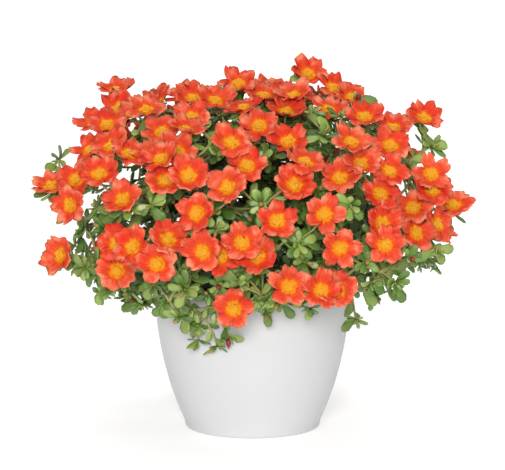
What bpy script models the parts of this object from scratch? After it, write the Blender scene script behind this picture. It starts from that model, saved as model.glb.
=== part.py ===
"""A potted portulaca: a round white pot, its soil, leafy stems that arch out of it, and orange blooms.

Metres, +Z up, the origin at the middle of the pot's flat base, and -Y towards the side that was photographed.
Each bunch is one body of blooms whose petals cross, and each leafy stem is a body of stem, shoots and leaves.
"""

import math

import bmesh
import bpy
import numpy as np
from mathutils.bvhtree import BVHTree

# Pot and soil
POT_HEIGHT = 0.125
RIM_RADIUS = 0.0853
BASE_RADIUS = 0.0565
FLARE_POWER = 2.1
BASE_ROUND = 0.004
WALL = 0.003
POT_SIDES = 36
SOIL_SIDES = 20
SOIL_BELOW_RIM = 0.012
SOIL_CROWN = 0.004
FIT_GAP = 0.0003
POT_CLEARANCE = 0.001
FLAT_ANGLE = math.radians(1)

# Blooms: radii and heights are shares of a bloom's radius, and turns are shares of a petal's angle
BLOOM_RADIUS = 0.0178
BLOOM_RISE = (0.24, 0.46)
BLOOM_DEPTH = 0.20
EYE_HEIGHT = 0.06
PETALS = 5
PETAL_POINTS = 4
PETAL_TURNS = (-0.5, -0.34, 0.0, 0.34)
PETAL_REACH = (0.50, 0.97, 0.88, 0.97)
REACH_DRAW = (0.94, 1.06)
HEIGHT_DRAW = 0.05

# How far a bloom is slid in depth to cross its bunch, and how many pairs of faces have to meet
BLOOM_TRIES = 30
SLIDE_SEEN = (-0.020, 0.050)
SLIDE_REAR = (-0.002, 0.050)
SLIDE_STEP = 0.001
STRAIGHT_TRIES = 6
ASIDE_STEP = 0.025
MATE_PAIRS = 5
MATE_WINDOW = 16

# Leaves: an arm's reach, shoulders and clefts are shares of the leaf's length
LEAF_LENGTH = 0.016
LEAF_WIDTH = 0.0085
LEAF_THICKNESS = 0.0022
LEAF_SHARE = 0.05
LEAF_SPOTS = (0.1, 0.6)
LEAF_RIM = ((-0.04, 0.0), (0.50, -0.36), (0.90, -0.45), (1.0, 0.0), (0.90, 0.45), (0.50, 0.36))
ARM_REACH = 0.93
ARM_CLEFT = 0.16
SHORT_ARM = 0.82
WHORL_ARMS = 3
ROSETTE_ARMS = 7

# Stems and shoots
STEM_COUNT = 10
STEM_RADIUS = 0.0021
STEM_TAPER = 0.7
STEM_CLIMBS = (math.radians(84), math.radians(8))
STEM_REACH = 0.66
STEM_FIRST_TURN = -1.2
ROOT_DEPTH = 0.030
ROOT_SPREAD = 0.050
SHOOT_RADIUS = 0.0012
SHOOT_TAPER = (1.15, 0.8)
SHOOT_CLEARANCE = 0.0006
SHOOT_SPAN = 0.030
SHORTEST_SHOOT = 0.014
LONG_SHOOT = 0.035
JOINT_SHARES = (0.3, 0.7)
JOINT_TRIES = 26
USED_COST = 0.035
BEHIND_COST = 0.05
LOAD_COST = 0.003
BENDS = ((0.35, 0.0), (0.2, 0.2), (0.1, 0.45), (0.3, -0.2))
SPRIG_TRIES = 20
SPRIG_LIFT = (-0.30, 0.08)
SPRIG_SIZE = (0.9, 1.15)
SPRIG_SHRINK = 0.4
OWN_PAIRS = 12

# Rosettes in the widest gaps of the head
GAP_TIPS = 38
GAP_TRIALS = 400
GAP_SINES = (-0.42, 0.985)
GAP_LEVEL = 0.86
GAP_LOOK = (0.0, 0.0, 0.3)

# Bunches on the side that was not photographed, placed by the golden angle
REAR_BUNCHES = 17
REAR_SINES = (-0.22, 0.985)
REAR_TURNS = (math.radians(76), math.radians(104))
REAR_MATES = ((0.0, 0.0), (0.19, 0.02), (0.09, 0.17))
REAR_SUNK = 0.010
CROWN_SUNK = 0.014
GOLDEN_SHARE = 0.618034
GOLDEN_ANGLE = math.pi * (3 - math.sqrt(5))

# How deep under the dome the tips with no bloom are, and how they lean beyond straight out
TIP_DEPTH = 0.004
TIP_TOWARD = (0.0, -0.5, -0.1)
SEED = 50

# The rounded outline of the whole head, through the eyes of the outer blooms
DOME_CENTRE = np.array((0.002, 0.0, 0.165))
DOME_RADII = np.array((0.176, 0.160, 0.146))
DOME_UNDER = 0.074
DOME_POWER = 2.3
HALVINGS = 40

# Which way the blooms face: out of the dome and to the camera, and how steeply they look up at two heights
FACE_OUT = 0.75
FACE_CAMERA = (0.0, -0.95)
FACE_SPREAD = 0.17
LOOK_HEIGHTS = (0.120, 0.290)
LOOK_CLIMBS = (math.radians(4), math.radians(58))

# The photograph's view: where its camera stood, and the size of one pixel at the pot's axis
VIEW_DISTANCE = 2.2
VIEW_HEIGHT = 0.44
AIM_HEIGHT = 0.170
PIXEL = 0.000875
FRAME_CENTRE = (252.5, 235.0)
SEARCH_SPAN = (-0.25, 0.15)
SEARCH_STEPS = 800
CROWN_ROW = 140
CROWN_ROWS = 40
CROWN_SPREAD = 0.035

# Pixels of the photograph where the eyes of its blooms show, each row of pairs being one bunch
SEEN_BUNCHES = (
    ((308, 74),),
    ((293, 96), (286, 112)),
    ((238, 84), (263, 96)),
    ((333, 88), (351, 98), (326, 119)),
    ((116, 90), (118, 109)),
    ((146, 110), (162, 132)),
    ((193, 99), (215, 101)),
    ((243, 108), (263, 130), (288, 142)),
    ((191, 118), (186, 130), (177, 152)),
    ((364, 117), (393, 128), (390, 146)),
    ((424, 118),),
    ((90, 150), (95, 123), (107, 125)),
    ((111, 146), (129, 154), (150, 155)),
    ((161, 159), (165, 181), (188, 176)),
    ((51, 186), (76, 180), (99, 175), (70, 205)),
    ((231, 143), (247, 166), (228, 188)),
    ((305, 162), (294, 186)),
    ((351, 142), (361, 164), (340, 178)),
    ((431, 174), (432, 190)),
    ((389, 171), (380, 194), (382, 224), (385, 245)),
    ((123, 200),),
    ((197, 213),),
    ((453, 205), (437, 224), (416, 233), (413, 208)),
    ((324, 215), (340, 248)),
    ((277, 221),),
    ((117, 244), (133, 247), (117, 271)),
    ((168, 240), (157, 264)),
    ((242, 243), (257, 256), (220, 257), (203, 252)),
    ((61, 255),),
    ((289, 287), (321, 291), (337, 291)),
    ((234, 309),),
)

# Pixels where leafy tips with no open bloom show, most of them trailing over the rim
SEEN_TIPS = (
    (178, 318), (195, 327), (216, 350), (258, 303), (277, 302), (356, 321), (396, 284),
    (410, 259), (436, 249), (84, 268), (108, 292), (58, 160), (200, 88), (356, 99), (432, 146),
    (150, 205), (216, 230), (262, 205), (300, 245), (366, 262), (352, 205), (185, 290), (240, 285),
)


def unit(vector):
    """The vector at length one."""
    vector = np.asarray(vector, float)
    return vector / np.linalg.norm(vector)


def frame_along(axis, roll):
    """A turning matrix whose third column is the axis, turned about it by roll."""
    axis = unit(axis)
    helper = (0.0, 0.0, 1.0) if abs(axis[2]) < 0.9 else (1.0, 0.0, 0.0)
    side = unit(np.cross(axis, helper))
    other = np.cross(axis, side)
    cos, sin = math.cos(roll), math.sin(roll)
    return np.stack((cos * side + sin * other, cos * other - sin * side, axis), axis=1)


def dome_level(points):
    """How far out the points lie, 1 being on the dome: the powers of the three distances added up."""
    away = np.abs(points - DOME_CENTRE) / DOME_RADII
    under = np.abs(points[..., 2] - DOME_CENTRE[2]) / DOME_UNDER
    away[..., 2] = np.where(points[..., 2] < DOME_CENTRE[2], under, away[..., 2])
    return (away**DOME_POWER).sum(axis=-1)


def dome_normal(point):
    """The outward direction of the dome through a point, from small steps each way."""
    step = 0.0005
    steps = np.eye(3) * step
    return unit(dome_level(point + steps) - dome_level(point - steps))


def view_ray(pixel):
    """Where the photograph's camera stood, and the direction in which it saw a pixel."""
    eye = np.array((0.0, -VIEW_DISTANCE, VIEW_HEIGHT))
    forward = np.array((0.0, 0.0, AIM_HEIGHT)) - eye
    right = np.array((1.0, 0.0, 0.0))
    up = np.cross(right, unit(forward))
    across = (pixel[0] - FRAME_CENTRE[0]) * PIXEL
    above = (FRAME_CENTRE[1] - pixel[1]) * PIXEL
    return eye, unit(forward + across * right + above * up)


def first_on_dome(pixel):
    """The first point of a pixel's ray on the dome, or its point nearest the dome where it misses."""
    eye, ray = view_ray(pixel)
    reach = VIEW_DISTANCE + np.linspace(*SEARCH_SPAN, SEARCH_STEPS)
    points = eye + reach[:, None] * ray
    level = dome_level(points)
    inside = np.flatnonzero(level <= 1)
    return points[inside[0]] if len(inside) else points[level.argmin()]


def on_dome(direction):
    """The dome's point in a direction from its centre, found by halving the distance."""
    near, far = 0.0, 2 * max(DOME_RADII)
    for _ in range(HALVINGS):
        middle = (near + far) / 2
        if dome_level(DOME_CENTRE + middle * direction) < 1:
            near = middle
        else:
            far = middle
    return DOME_CENTRE + near * direction


def bloom_solid(place, facing, roll, rise, draw):
    """A bloom's points and faces: notched petals in a dish, joined to a point in its middle and one below.

    The rim's radius falls to a cleft between petals and to a notch in each, and its height follows the
    radius to the power 1.5."""
    count = PETALS * PETAL_POINTS
    angles = (np.arange(PETALS)[:, None] + PETAL_TURNS).ravel() * math.tau / PETALS
    radii = np.tile(PETAL_REACH, PETALS) * draw.uniform(*REACH_DRAW, count)
    heights = rise * radii**1.5 + draw.uniform(-HEIGHT_DRAW, HEIGHT_DRAW, count)
    rim = np.stack((radii * np.cos(angles), radii * np.sin(angles), heights), axis=1)
    middles = np.array(((0.0, 0.0, EYE_HEIGHT), (0.0, 0.0, -BLOOM_DEPTH)))
    faces = [(count, i, (i + 1) % count) for i in range(count)]
    faces += [(count + 1, (i + 1) % count, i) for i in range(count)]
    points = np.concatenate((rim, middles)) * BLOOM_RADIUS
    return points @ frame_along(facing, roll).T + place, faces


def shoot_rings(path, radii, end_frame):
    """Three points round each of a path's points, lined up with the end's frame and carried back."""
    along = np.gradient(path, axis=0)
    side = end_frame[:, 0]
    rings = []
    for index in range(len(path) - 1, -1, -1):
        axis = end_frame[:, 2] if index == len(path) - 1 else unit(along[index])
        side = unit(side - axis * side.dot(axis))
        other = np.cross(axis, side)
        turns = np.arange(3) * math.tau / 3
        ring = np.cos(turns)[:, None] * side + np.sin(turns)[:, None] * other
        rings.append(path[index] + radii[index] * ring)
    return rings[::-1]


def sprig_solid(path, facing, roll, arms, size, lift):
    """A shoot and the whorl of leaves at its end in one skin, as points and faces.

    The whorl is a star of blunt arms round its own middle: a rim that falls to a cleft between arms, a point
    above, and below it the shoot's last ring of three. With no arms the shoot ends in a point."""
    frame = frame_along(facing, roll)
    radii = np.linspace(*SHOOT_TAPER, len(path)) * SHOOT_RADIUS
    spine = path.copy()
    spine[-1] = path[-1] - 0.5 * LEAF_THICKNESS * facing
    points = np.concatenate(shoot_rings(spine, radii, frame))
    last = 3 * (len(path) - 1)
    faces = [(2, 1, 0)]
    for start in range(0, last, 3):
        for k in range(3):
            following = (k + 1) % 3
            faces.append((start + k, start + following, start + 3 + k))
            faces.append((start + following, start + 3 + following, start + 3 + k))
    apex = path[-1] + 0.5 * LEAF_THICKNESS * facing
    count = 3 * arms
    if arms:
        turn = math.tau / arms
        length = LEAF_LENGTH * size
        spread = math.asin(0.5 * LEAF_WIDTH / (ARM_REACH * LEAF_LENGTH))
        angles = (np.arange(arms)[:, None] * turn + (0.0, turn / 2 - spread, turn / 2 + spread)).ravel()
        shorter = np.where(np.arange(arms) % 2, SHORT_ARM, 1.0)
        reach = (shorter[:, None] * (0.0, ARM_REACH, ARM_REACH)).ravel() * length
        reach[::3] = ARM_CLEFT * length
        rise = lift * length * np.tile((0.0, 1.0, 1.0), arms)
        rim = np.stack((reach * np.cos(angles), reach * np.sin(angles), rise), axis=1) @ frame.T + path[-1]
        points = np.concatenate((points, rim, apex[None]))
        first = last + 3
        faces += [(first + i, first + (i + 1) % count, first + count) for i in range(count)]
        sector = count // 3
        for k in range(3):
            low, high = last + k, last + (k + 1) % 3
            edge = [first + (k * sector + i) % count for i in range(sector + 1)]
            half = sector // 2 + 1
            faces += [(low, edge[i + 1], edge[i]) for i in range(half)]
            faces.append((low, high, edge[half]))
            faces += [(high, edge[i + 1], edge[i]) for i in range(half, sector)]
    else:
        points = np.concatenate((points, apex[None]))
        faces += [(last + k, last + (k + 1) % 3, last + 3) for k in range(3)]
    return points, faces


def folded(points, faces):
    """Whether any two faces that share no point cross."""
    tree = BVHTree.FromPolygons(points.tolist(), faces)
    return any(not set(faces[a]) & set(faces[b]) for a, b in tree.overlap(tree))


def leaf_solid(place, facing, roll, length, width):
    """One spoon-shaped leaf's points and faces, its foot at the place and its tip along +X of the frame.

    It bends up by a tenth of its length towards the tip."""
    rim = np.array([(x * length, y * width, 0.10 * length * x * x) for x, y in LEAF_RIM])
    middle = np.array((0.6 * length, 0.0, 0.04 * length))
    half = np.array((0.0, 0.0, LEAF_THICKNESS / 2))
    count = len(rim)
    points = np.concatenate((rim, (middle + half, middle - half)))
    faces = [(count, i, (i + 1) % count) for i in range(count)]
    faces += [(count + 1, (i + 1) % count, i) for i in range(count)]
    return points @ frame_along(facing, roll).T + place, faces


def tube_solid(path, radius):
    """A three-sided tube's points and faces round a path, for finding what a shoot or stem would cross."""
    path = np.asarray(path)
    end_frame = frame_along(path[-1] - path[-2], 0.0)
    rings = np.concatenate(shoot_rings(path, [radius] * len(path), end_frame))
    faces = [(3 * r + k, 3 * r + (k + 1) % 3, 3 * r + 3 + (k + 1) % 3, 3 * r + 3 + k)
             for r in range(len(path) - 1) for k in range(3)]
    return rings, faces


class Thicket:
    """What stands where, item by item, so that nothing new is put through another node."""

    def __init__(self):
        self.nodes, self.lows, self.highs, self.trees = [], [], [], []

    def add(self, node, points, faces):
        """Fills the space of these faces for a node, and gives the new item's number."""
        self.nodes.append(node)
        self.lows.append(points.min(axis=0))
        self.highs.append(points.max(axis=0))
        self.trees.append(BVHTree.FromPolygons(points.tolist(), faces))
        return len(self.nodes) - 1

    def met(self, points, faces):
        """The items that these faces cross, each with the number of pairs of faces that meet."""
        if not self.nodes:
            return {}
        near = (np.array(self.lows) <= points.max(axis=0)).all(axis=1)
        near &= (np.array(self.highs) >= points.min(axis=0)).all(axis=1)
        tree = BVHTree.FromPolygons(points.tolist(), faces)
        pairs = {int(i): len(tree.overlap(self.trees[i])) for i in np.flatnonzero(near)}
        return {item: count for item, count in pairs.items() if count}

    def one_bunch(self, met):
        """The bunch that all the items met belong to, or None."""
        nodes = {self.nodes[item] for item in met}
        return nodes.pop() if len(nodes) == 1 and min(nodes).startswith("bloom") else None

    def strangers(self, met, node):
        """Whether any of the items met belongs to another node."""
        return any(self.nodes[item] != node for item in met)


def pot_radius(height):
    """The pot's outer radius at a height: it flares from the base and stands upright at the rim."""
    share = np.clip(height / POT_HEIGHT, 0, 1)
    return BASE_RADIUS + (RIM_RADIUS - BASE_RADIUS) * (1 - (1 - share) ** FLARE_POWER)


def pot_wall_solid():
    """The pot's outer skin and its rim as a ring of faces, for keeping stems off it."""
    heights = np.linspace(0.0, POT_HEIGHT, 5)
    outer = [(pot_radius(z) + POT_CLEARANCE, z) for z in heights]
    inside = RIM_RADIUS - WALL - POT_CLEARANCE
    above = POT_HEIGHT + POT_CLEARANCE
    profile = outer + [(outer[-1][0], above), (inside, above), (inside, POT_HEIGHT - SOIL_BELOW_RIM)]
    sides, rings = POT_SIDES, len(profile)
    angles = np.arange(sides) * math.tau / sides
    points = np.array([(r * math.cos(a), r * math.sin(a), z) for a in angles for r, z in profile])
    faces = [(s * rings + i, (s + 1) % sides * rings + i, (s + 1) % sides * rings + i + 1, s * rings + i + 1)
             for s in range(sides) for i in range(rings - 1)]
    return points, faces


def bloom_facing(point, seen, draw):
    """A bloom faces out of the dome, and more upward the higher it is. One that shows turns to the camera."""
    aside = FACE_OUT * dome_normal(point)[:2]
    if seen:
        aside = aside + FACE_CAMERA
    climb = np.interp(point[2], LOOK_HEIGHTS, LOOK_CLIMBS)
    direction = np.append(math.cos(climb) * unit(aside), math.sin(climb))
    return unit(direction + draw.normal(0.0, FACE_SPREAD, 3))


def place_bloom(node, spot, slide, seen, mates, thicket, draw):
    """A bloom at its spot, slid in depth until it crosses its bunch a little and nothing else, or None.

    With no node given it joins whichever one bunch it crosses."""
    for attempt in range(BLOOM_TRIES):
        facing = bloom_facing(spot, seen, draw)
        roll, rise = draw.uniform(0, math.tau), draw.uniform(*BLOOM_RISE)
        state = int(draw.integers(1 << 30))
        aside, aim = np.zeros(3), 0.0
        if mates:
            ways = np.array(mates) - spot
            across = ways - (ways @ slide)[:, None] * slide
            nearest = np.linalg.norm(across, axis=1).argmin()
            aim = 0.5 * ways[nearest] @ slide
            aside = ASIDE_STEP * max(attempt - STRAIGHT_TRIES, 0) * across[nearest]
        offsets = np.arange(*(SLIDE_SEEN if seen else SLIDE_REAR), SLIDE_STEP)
        offsets = offsets[np.argsort(np.abs(offsets - aim), kind="stable")]
        best, least = None, 1000
        for tried, offset in enumerate(offsets):
            if best and tried > MATE_WINDOW:
                break
            place = spot + aside + offset * slide
            solid = bloom_solid(place, facing, roll, rise, np.random.default_rng(state))
            met = thicket.met(*solid)
            pairs = sum(met.values())
            host = node or thicket.one_bunch(met)
            if not host or thicket.strangers(met, host) or pairs >= least:
                continue
            if (mates or not node) and pairs < MATE_PAIRS:
                continue
            best, least = (host, place, solid), pairs
            if node and not mates:
                break
        if best:
            host, place, solid = best
            thicket.add(host, *solid)
            return {"node": host, "place": place, "facing": facing, "roll": roll, "rise": rise,
                    "state": state, "solid": solid}
    return None


def bunch_name(index):
    """The node of a bunch, from its place in the list of bunches."""
    return f"bloom_bunch_{index + 1:02d}"


def place_blooms(thicket, draw):
    """Every bloom, bunch by bunch, and last those that reach no mate, each in the bunch that it crosses."""
    bunches = [seen_spots(pixels) for pixels in SEEN_BUNCHES]
    bunches += [rear_spots(index, draw) for index in range(REAR_BUNCHES)]
    blooms, loners = [], []
    for index, spots in enumerate(bunches):
        node, seen, mates = bunch_name(index), index < len(SEEN_BUNCHES), []
        for spot, slide in spots:
            bloom = place_bloom(node, spot, slide, seen, mates, thicket, draw)
            if bloom:
                blooms.append(bloom)
                mates.append(bloom["place"])
            else:
                loners.append((None, spot, slide, seen, []))
    blooms += [bloom for bloom in (place_bloom(*loner, thicket, draw) for loner in loners) if bloom]
    return blooms


def seen_spots(pixels):
    """The places of one bunch's blooms on the dome, with the direction away from the camera.

    The dome's crown is seen edge-on, so the blooms of the upper rows are spread back over it."""
    spots = []
    for pixel in pixels:
        ray = view_ray(pixel)[1]
        back = CROWN_SPREAD * min(max((CROWN_ROW - pixel[1]) / CROWN_ROWS, 0.0), 1.0)
        spots.append((first_on_dome(pixel) + back * ray, ray))
    return spots


def rear_spots(index, draw):
    """Three places close together on the dome's far side and crown, with the way into it.

    The sine of their height grows evenly, and the turn about the dome is wider towards the crown."""
    share = (index + 0.5) / REAR_BUNCHES
    climb = math.asin(REAR_SINES[0] + (REAR_SINES[1] - REAR_SINES[0]) * share)
    half_turn = REAR_TURNS[0] + REAR_TURNS[1] * math.sin(climb) ** 4
    azimuth = math.radians(90) + half_turn * (2 * ((index * GOLDEN_SHARE + 0.2) % 1.0) - 1) - 0.06
    spots = []
    for aside, above in REAR_MATES:
        side = azimuth + aside / max(math.cos(climb), 0.35)
        up = climb + above
        direction = np.array((math.cos(side) * math.cos(up), math.sin(side) * math.cos(up), math.sin(up)))
        sunk = draw.uniform(0.0, REAR_SUNK) + CROWN_SUNK * math.sin(climb) ** 4
        spots.append((on_dome(direction) - sunk * direction, -direction))
    return spots


def bezier(start, leave, arrive, end, count):
    """Points of the cubic curve from start to end."""
    t = np.linspace(0, 1, count)[:, None]
    return (1 - t) ** 3 * start + 3 * (1 - t) ** 2 * t * leave + 3 * (1 - t) * t**2 * arrive + t**3 * end


def main_stems():
    """The main stems' paths by the golden angle: the inner ones upright, the outer arched over the rim."""
    soil = POT_HEIGHT - SOIL_BELOW_RIM + SOIL_CROWN
    stems = []
    for index in range(STEM_COUNT):
        share = (index + 0.5) / STEM_COUNT
        azimuth = index * GOLDEN_ANGLE + STEM_FIRST_TURN
        outward = np.array((math.cos(azimuth), math.sin(azimuth), 0.0))
        climb = STEM_CLIMBS[0] + (STEM_CLIMBS[1] - STEM_CLIMBS[0]) * share
        root = ROOT_SPREAD * math.sqrt(share) * outward
        direction = outward * math.cos(climb) + np.array((0, 0, math.sin(climb)))
        end = (0, 0, soil) + STEM_REACH * np.linalg.norm(on_dome(direction) - (0, 0, soil)) * direction
        foot = root + (0, 0, soil - ROOT_DEPTH)
        top = root + (0, 0, soil)
        arch = bezier(top, top + (0, 0, 0.022), end - 0.035 * direction + (0, 0, 0.016), end, 5)
        stems.append(np.concatenate((foot[None], arch)))
    return stems


class Branching:
    """The places on each stem and shoot where a further shoot may start, and how many have."""

    def __init__(self):
        self.joints, self.loads = [], {}

    def add(self, node, item, path, first):
        """Puts two joints on each stretch of the path from the first point that is given."""
        for index in range(first, len(path) - 1):
            for share in JOINT_SHARES:
                point = (1 - share) * path[index] + share * path[index + 1]
                self.joints.append([node, item, point, unit(path[index + 1] - path[index]), 0])

    def nearest(self, tip, facing):
        """The joints in order of the way to a tip. Those used before, or not behind it, count as further."""
        points = np.array([joint[2] for joint in self.joints])
        used = np.array([joint[4] for joint in self.joints])
        load = np.array([self.loads.get(joint[0], 0) for joint in self.joints])
        ways = tip - points
        span = np.linalg.norm(ways, axis=1)
        behind = np.clip(-(ways @ facing) / np.maximum(span, 0.001), 0, 1)
        cost = np.abs(span - SHOOT_SPAN) + USED_COST * used + BEHIND_COST * behind + LOAD_COST * load
        cost[span < SHORTEST_SHOOT] = 1.0
        return [self.joints[i] for i in np.argsort(cost, kind="stable")]


def grow_shoot(tip, facing, branching, thicket, draw):
    """The clear way to a tip that crosses least of its own node, as the joint and the path, or None.

    Each bend is how far the path comes from behind the tip, and how far from above, as shares of its span."""
    best, fewest = None, 1000
    for joint in branching.nearest(tip, facing)[:JOINT_TRIES]:
        node, item, start, along, _ = joint
        span = np.linalg.norm(tip - start)
        for back, above in BENDS:
            aside = draw.normal(0.0, 0.06, 3) * span
            arrive = tip - back * span * facing + (0, 0, above * span) + aside
            path = bezier(start, start + 0.12 * span * along, arrive, tip, 3 if span < LONG_SHOOT else 4)
            if (tip - path[-2]) @ facing < 0.3 * np.linalg.norm(tip - path[-2]):
                continue
            met = thicket.met(*tube_solid(path, SHOOT_RADIUS + SHOOT_CLEARANCE))
            if thicket.strangers(met, node):
                continue
            own = sum(count for other, count in met.items() if other != item)
            if own < fewest:
                best, fewest = (joint, path), own
            if own == 0:
                return best
    return best


def grow_sprig(tip, facing, arms, branching, thicket, draw):
    """A shoot with its whorl, at the turn and size that cross no other node and least of its own.

    It is a bare shoot where no whorl fits, and None where that doesn't either."""
    found = grow_shoot(tip, facing, branching, thicket, draw)
    if found is None:
        return None
    joint, path = found
    node, parent = joint[0], joint[1]
    best, fewest = None, OWN_PAIRS
    for attempt in range(SPRIG_TRIES):
        roll, lift = draw.uniform(0, math.tau), draw.uniform(*SPRIG_LIFT)
        size = draw.uniform(*SPRIG_SIZE) * (1 - SPRIG_SHRINK * attempt / SPRIG_TRIES)
        solid = sprig_solid(path, facing, roll, arms, size, lift)
        met = thicket.met(*solid)
        own = sum(count for other, count in met.items() if other != parent)
        if own < fewest and not thicket.strangers(met, node) and not folded(*solid):
            best, fewest = (roll, lift, size, arms, solid), own
        if fewest == 0:
            break
    if best is None:
        solid = sprig_solid(path, facing, 0.0, 0, 1.0, 0.0)
        if thicket.strangers(thicket.met(*solid), node) or folded(*solid):
            return None
        best = (0.0, 0.0, 1.0, 0, solid)
    roll, lift, size, arms, solid = best
    joint[4] += 1
    branching.loads[node] = branching.loads.get(node, 0) + 1
    item = thicket.add(node, *solid)
    branching.add(node, item, path, 1)
    return {"node": node, "item": item, "path": path, "facing": facing, "roll": roll, "lift": lift,
            "size": size, "arms": arms, "solid": solid}


def grow_leaves(sprigs, thicket, draw):
    """Single leaves on the shoots, where one fits without crossing anything but its own shoot."""
    leaves = []
    for sprig in sprigs:
        path = sprig["path"]
        along = unit(path[-1] - path[-2])
        for share in LEAF_SPOTS:
            place = path[-2] + share * (path[-1] - path[-2])
            facing = unit(np.cross(along, draw.normal(size=3)) + 0.5 * along)
            roll, size = draw.uniform(0, math.tau), draw.uniform(0.8, 1.1)
            solid = leaf_solid(place, facing, roll, LEAF_LENGTH * size, LEAF_WIDTH * size)
            if draw.uniform() > LEAF_SHARE or any(item != sprig["item"] for item in thicket.met(*solid)):
                continue
            thicket.add(sprig["node"], *solid)
            leaves.append({"node": sprig["node"], "solid": solid})
    return leaves


def gap_spots(taken):
    """The widest gaps a little under the dome's skin: the farthest from all places taken, one by one."""
    sines = np.linspace(*GAP_SINES, GAP_TRIALS)
    turns = np.arange(GAP_TRIALS) * GOLDEN_ANGLE
    flat = np.sqrt(1 - sines**2)
    ways = np.stack((flat * np.cos(turns), flat * np.sin(turns), sines), axis=1)
    spots = DOME_CENTRE + GAP_LEVEL * (np.array([on_dome(way) for way in ways]) - DOME_CENTRE)
    room = np.linalg.norm(spots[:, None] - np.array(taken), axis=2).min(axis=1)
    found = []
    for _ in range(GAP_TIPS):
        widest = room.argmax()
        found.append(spots[widest])
        room = np.minimum(room, np.linalg.norm(spots - spots[widest], axis=1))
    return found


def shoot_ends(blooms):
    """Where shoots end, as tips, facings and arms: a whorl under each bunch, and rosettes on their own."""
    reach = BLOOM_DEPTH * BLOOM_RADIUS + FIT_GAP + LEAF_THICKNESS / 2
    ends, carried = [], set()
    for bloom in blooms:
        if bloom["node"] not in carried:
            carried.add(bloom["node"])
            ends.append((bloom["place"] - reach * bloom["facing"], bloom["facing"], WHORL_ARMS))
    for pixel in SEEN_TIPS:
        point = first_on_dome(pixel) + TIP_DEPTH * view_ray(pixel)[1]
        ends.append((point, unit(dome_normal(point) + TIP_TOWARD), ROSETTE_ARMS))
    taken = [bloom["place"] for bloom in blooms] + [end[0] for end in ends]
    ends += [(point, unit(dome_normal(point) + GAP_LOOK), ROSETTE_ARMS) for point in gap_spots(taken)]
    return sorted(ends, key=lambda end: np.linalg.norm(end[0] - DOME_CENTRE))


def grow_plant():
    """Every bloom, stem, shoot, whorl and leaf of the plant, placed so that no two nodes cross."""
    draw = np.random.default_rng(SEED)
    thicket, branching = Thicket(), Branching()
    thicket.add("pot", *pot_wall_solid())
    blooms, stems, sprigs = place_blooms(thicket, draw), {}, []
    for index, path in enumerate(main_stems()):
        name = f"leafy_stem_{index + 1:02d}"
        stems[name] = path
        branching.add(name, thicket.add(name, *tube_solid(path, STEM_RADIUS)), path, 2)
    for tip, facing, arms in shoot_ends(blooms):
        sprig = grow_sprig(tip, facing, arms, branching, thicket, draw)
        if sprig:
            sprigs.append(sprig)
    return blooms, stems, sprigs, grow_leaves(sprigs, thicket, draw)


def make_material(name, colour, roughness):
    """A plain Principled material."""
    material = bpy.data.materials.new(name)
    material.use_nodes = True
    shader = material.node_tree.nodes["Principled BSDF"]
    shader.inputs["Base Color"].default_value = (*colour, 1.0)
    shader.inputs["Roughness"].default_value = roughness
    shader.inputs["Metallic"].default_value = 0.0
    return material


def make_collection(name):
    """A new collection in the scene."""
    collection = bpy.data.collections.new(name)
    bpy.context.scene.collection.children.link(collection)
    return collection


def mesh_object(name, points, faces, collection, edges=()):
    """A mesh object from points and faces, or from points and bare edges."""
    mesh = bpy.data.meshes.new(name)
    mesh.from_pydata([tuple(p) for p in points], edges, faces)
    obj = bpy.data.objects.new(name, mesh)
    collection.objects.link(obj)
    return obj


def tube_object(name, path, radii, collection):
    """A round tube as a curve with a bevel and filled caps, made a mesh so that a Boolean can join it."""
    curve = bpy.data.curves.new(name, "CURVE")
    curve.dimensions = "3D"
    curve.bevel_depth = 1.0
    curve.bevel_resolution = 0
    curve.use_fill_caps = True
    spline = curve.splines.new("POLY")
    spline.points.add(len(path) - 1)
    for spot, place, radius in zip(spline.points, path, radii):
        spot.co = (*place, 1.0)
        spot.radius = radius
    guide = bpy.data.objects.new(name, curve)
    collection.objects.link(guide)
    graph = bpy.context.evaluated_depsgraph_get()
    mesh = bpy.data.meshes.new_from_object(guide.evaluated_get(graph))
    bpy.data.objects.remove(guide)
    shape = bmesh.new()
    shape.from_mesh(mesh)
    bmesh.ops.remove_doubles(shape, verts=shape.verts, dist=0.00001)
    bmesh.ops.recalc_face_normals(shape, faces=shape.faces)
    shape.to_mesh(mesh)
    shape.free()
    obj = bpy.data.objects.new(name, mesh)
    collection.objects.link(obj)
    return obj


def join_node(name, pieces, material, flatten):
    """One body from a list of pieces: a Boolean union with the rest of them as a collection, applied.

    Edges that it leaves across flat faces are dissolved where asked, and faces are split in triangles."""
    first, rest = pieces[0], pieces[1:]
    if rest:
        helper = make_collection(name + "_pieces")
        for piece in rest:
            helper.objects.link(piece)
        union = first.modifiers.new("join", "BOOLEAN")
        union.operation = "UNION"
        union.operand_type = "COLLECTION"
        union.collection = helper
        graph = bpy.context.evaluated_depsgraph_get()
        mesh = bpy.data.meshes.new_from_object(first.evaluated_get(graph))
        shape = bmesh.new()
        shape.from_mesh(mesh)
        if flatten:
            bmesh.ops.dissolve_limit(shape, angle_limit=FLAT_ANGLE, verts=shape.verts, edges=shape.edges)
        bmesh.ops.triangulate(shape, faces=shape.faces)
        shape.to_mesh(mesh)
        shape.free()
        first.modifiers.clear()
        first.data = mesh
        for piece in rest:
            bpy.data.objects.remove(piece)
        bpy.data.collections.remove(helper)
    first.name = name
    first.data.name = name
    first.data.materials.clear()
    first.data.materials.append(material)
    return first


def turned(name, profile, sides, material, collection):
    """A profile of (radius, height) points turned round the Z axis."""
    edges = [(i, i + 1) for i in range(len(profile) - 1)]
    obj = mesh_object(name, [(r, 0.0, z) for r, z in profile], [], collection, edges)
    screw = obj.modifiers.new("turn", "SCREW")
    screw.steps = screw.render_steps = sides
    screw.use_merge_vertices = True
    screw.merge_threshold = 0.0001
    obj.data.materials.append(material)
    return obj


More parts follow.
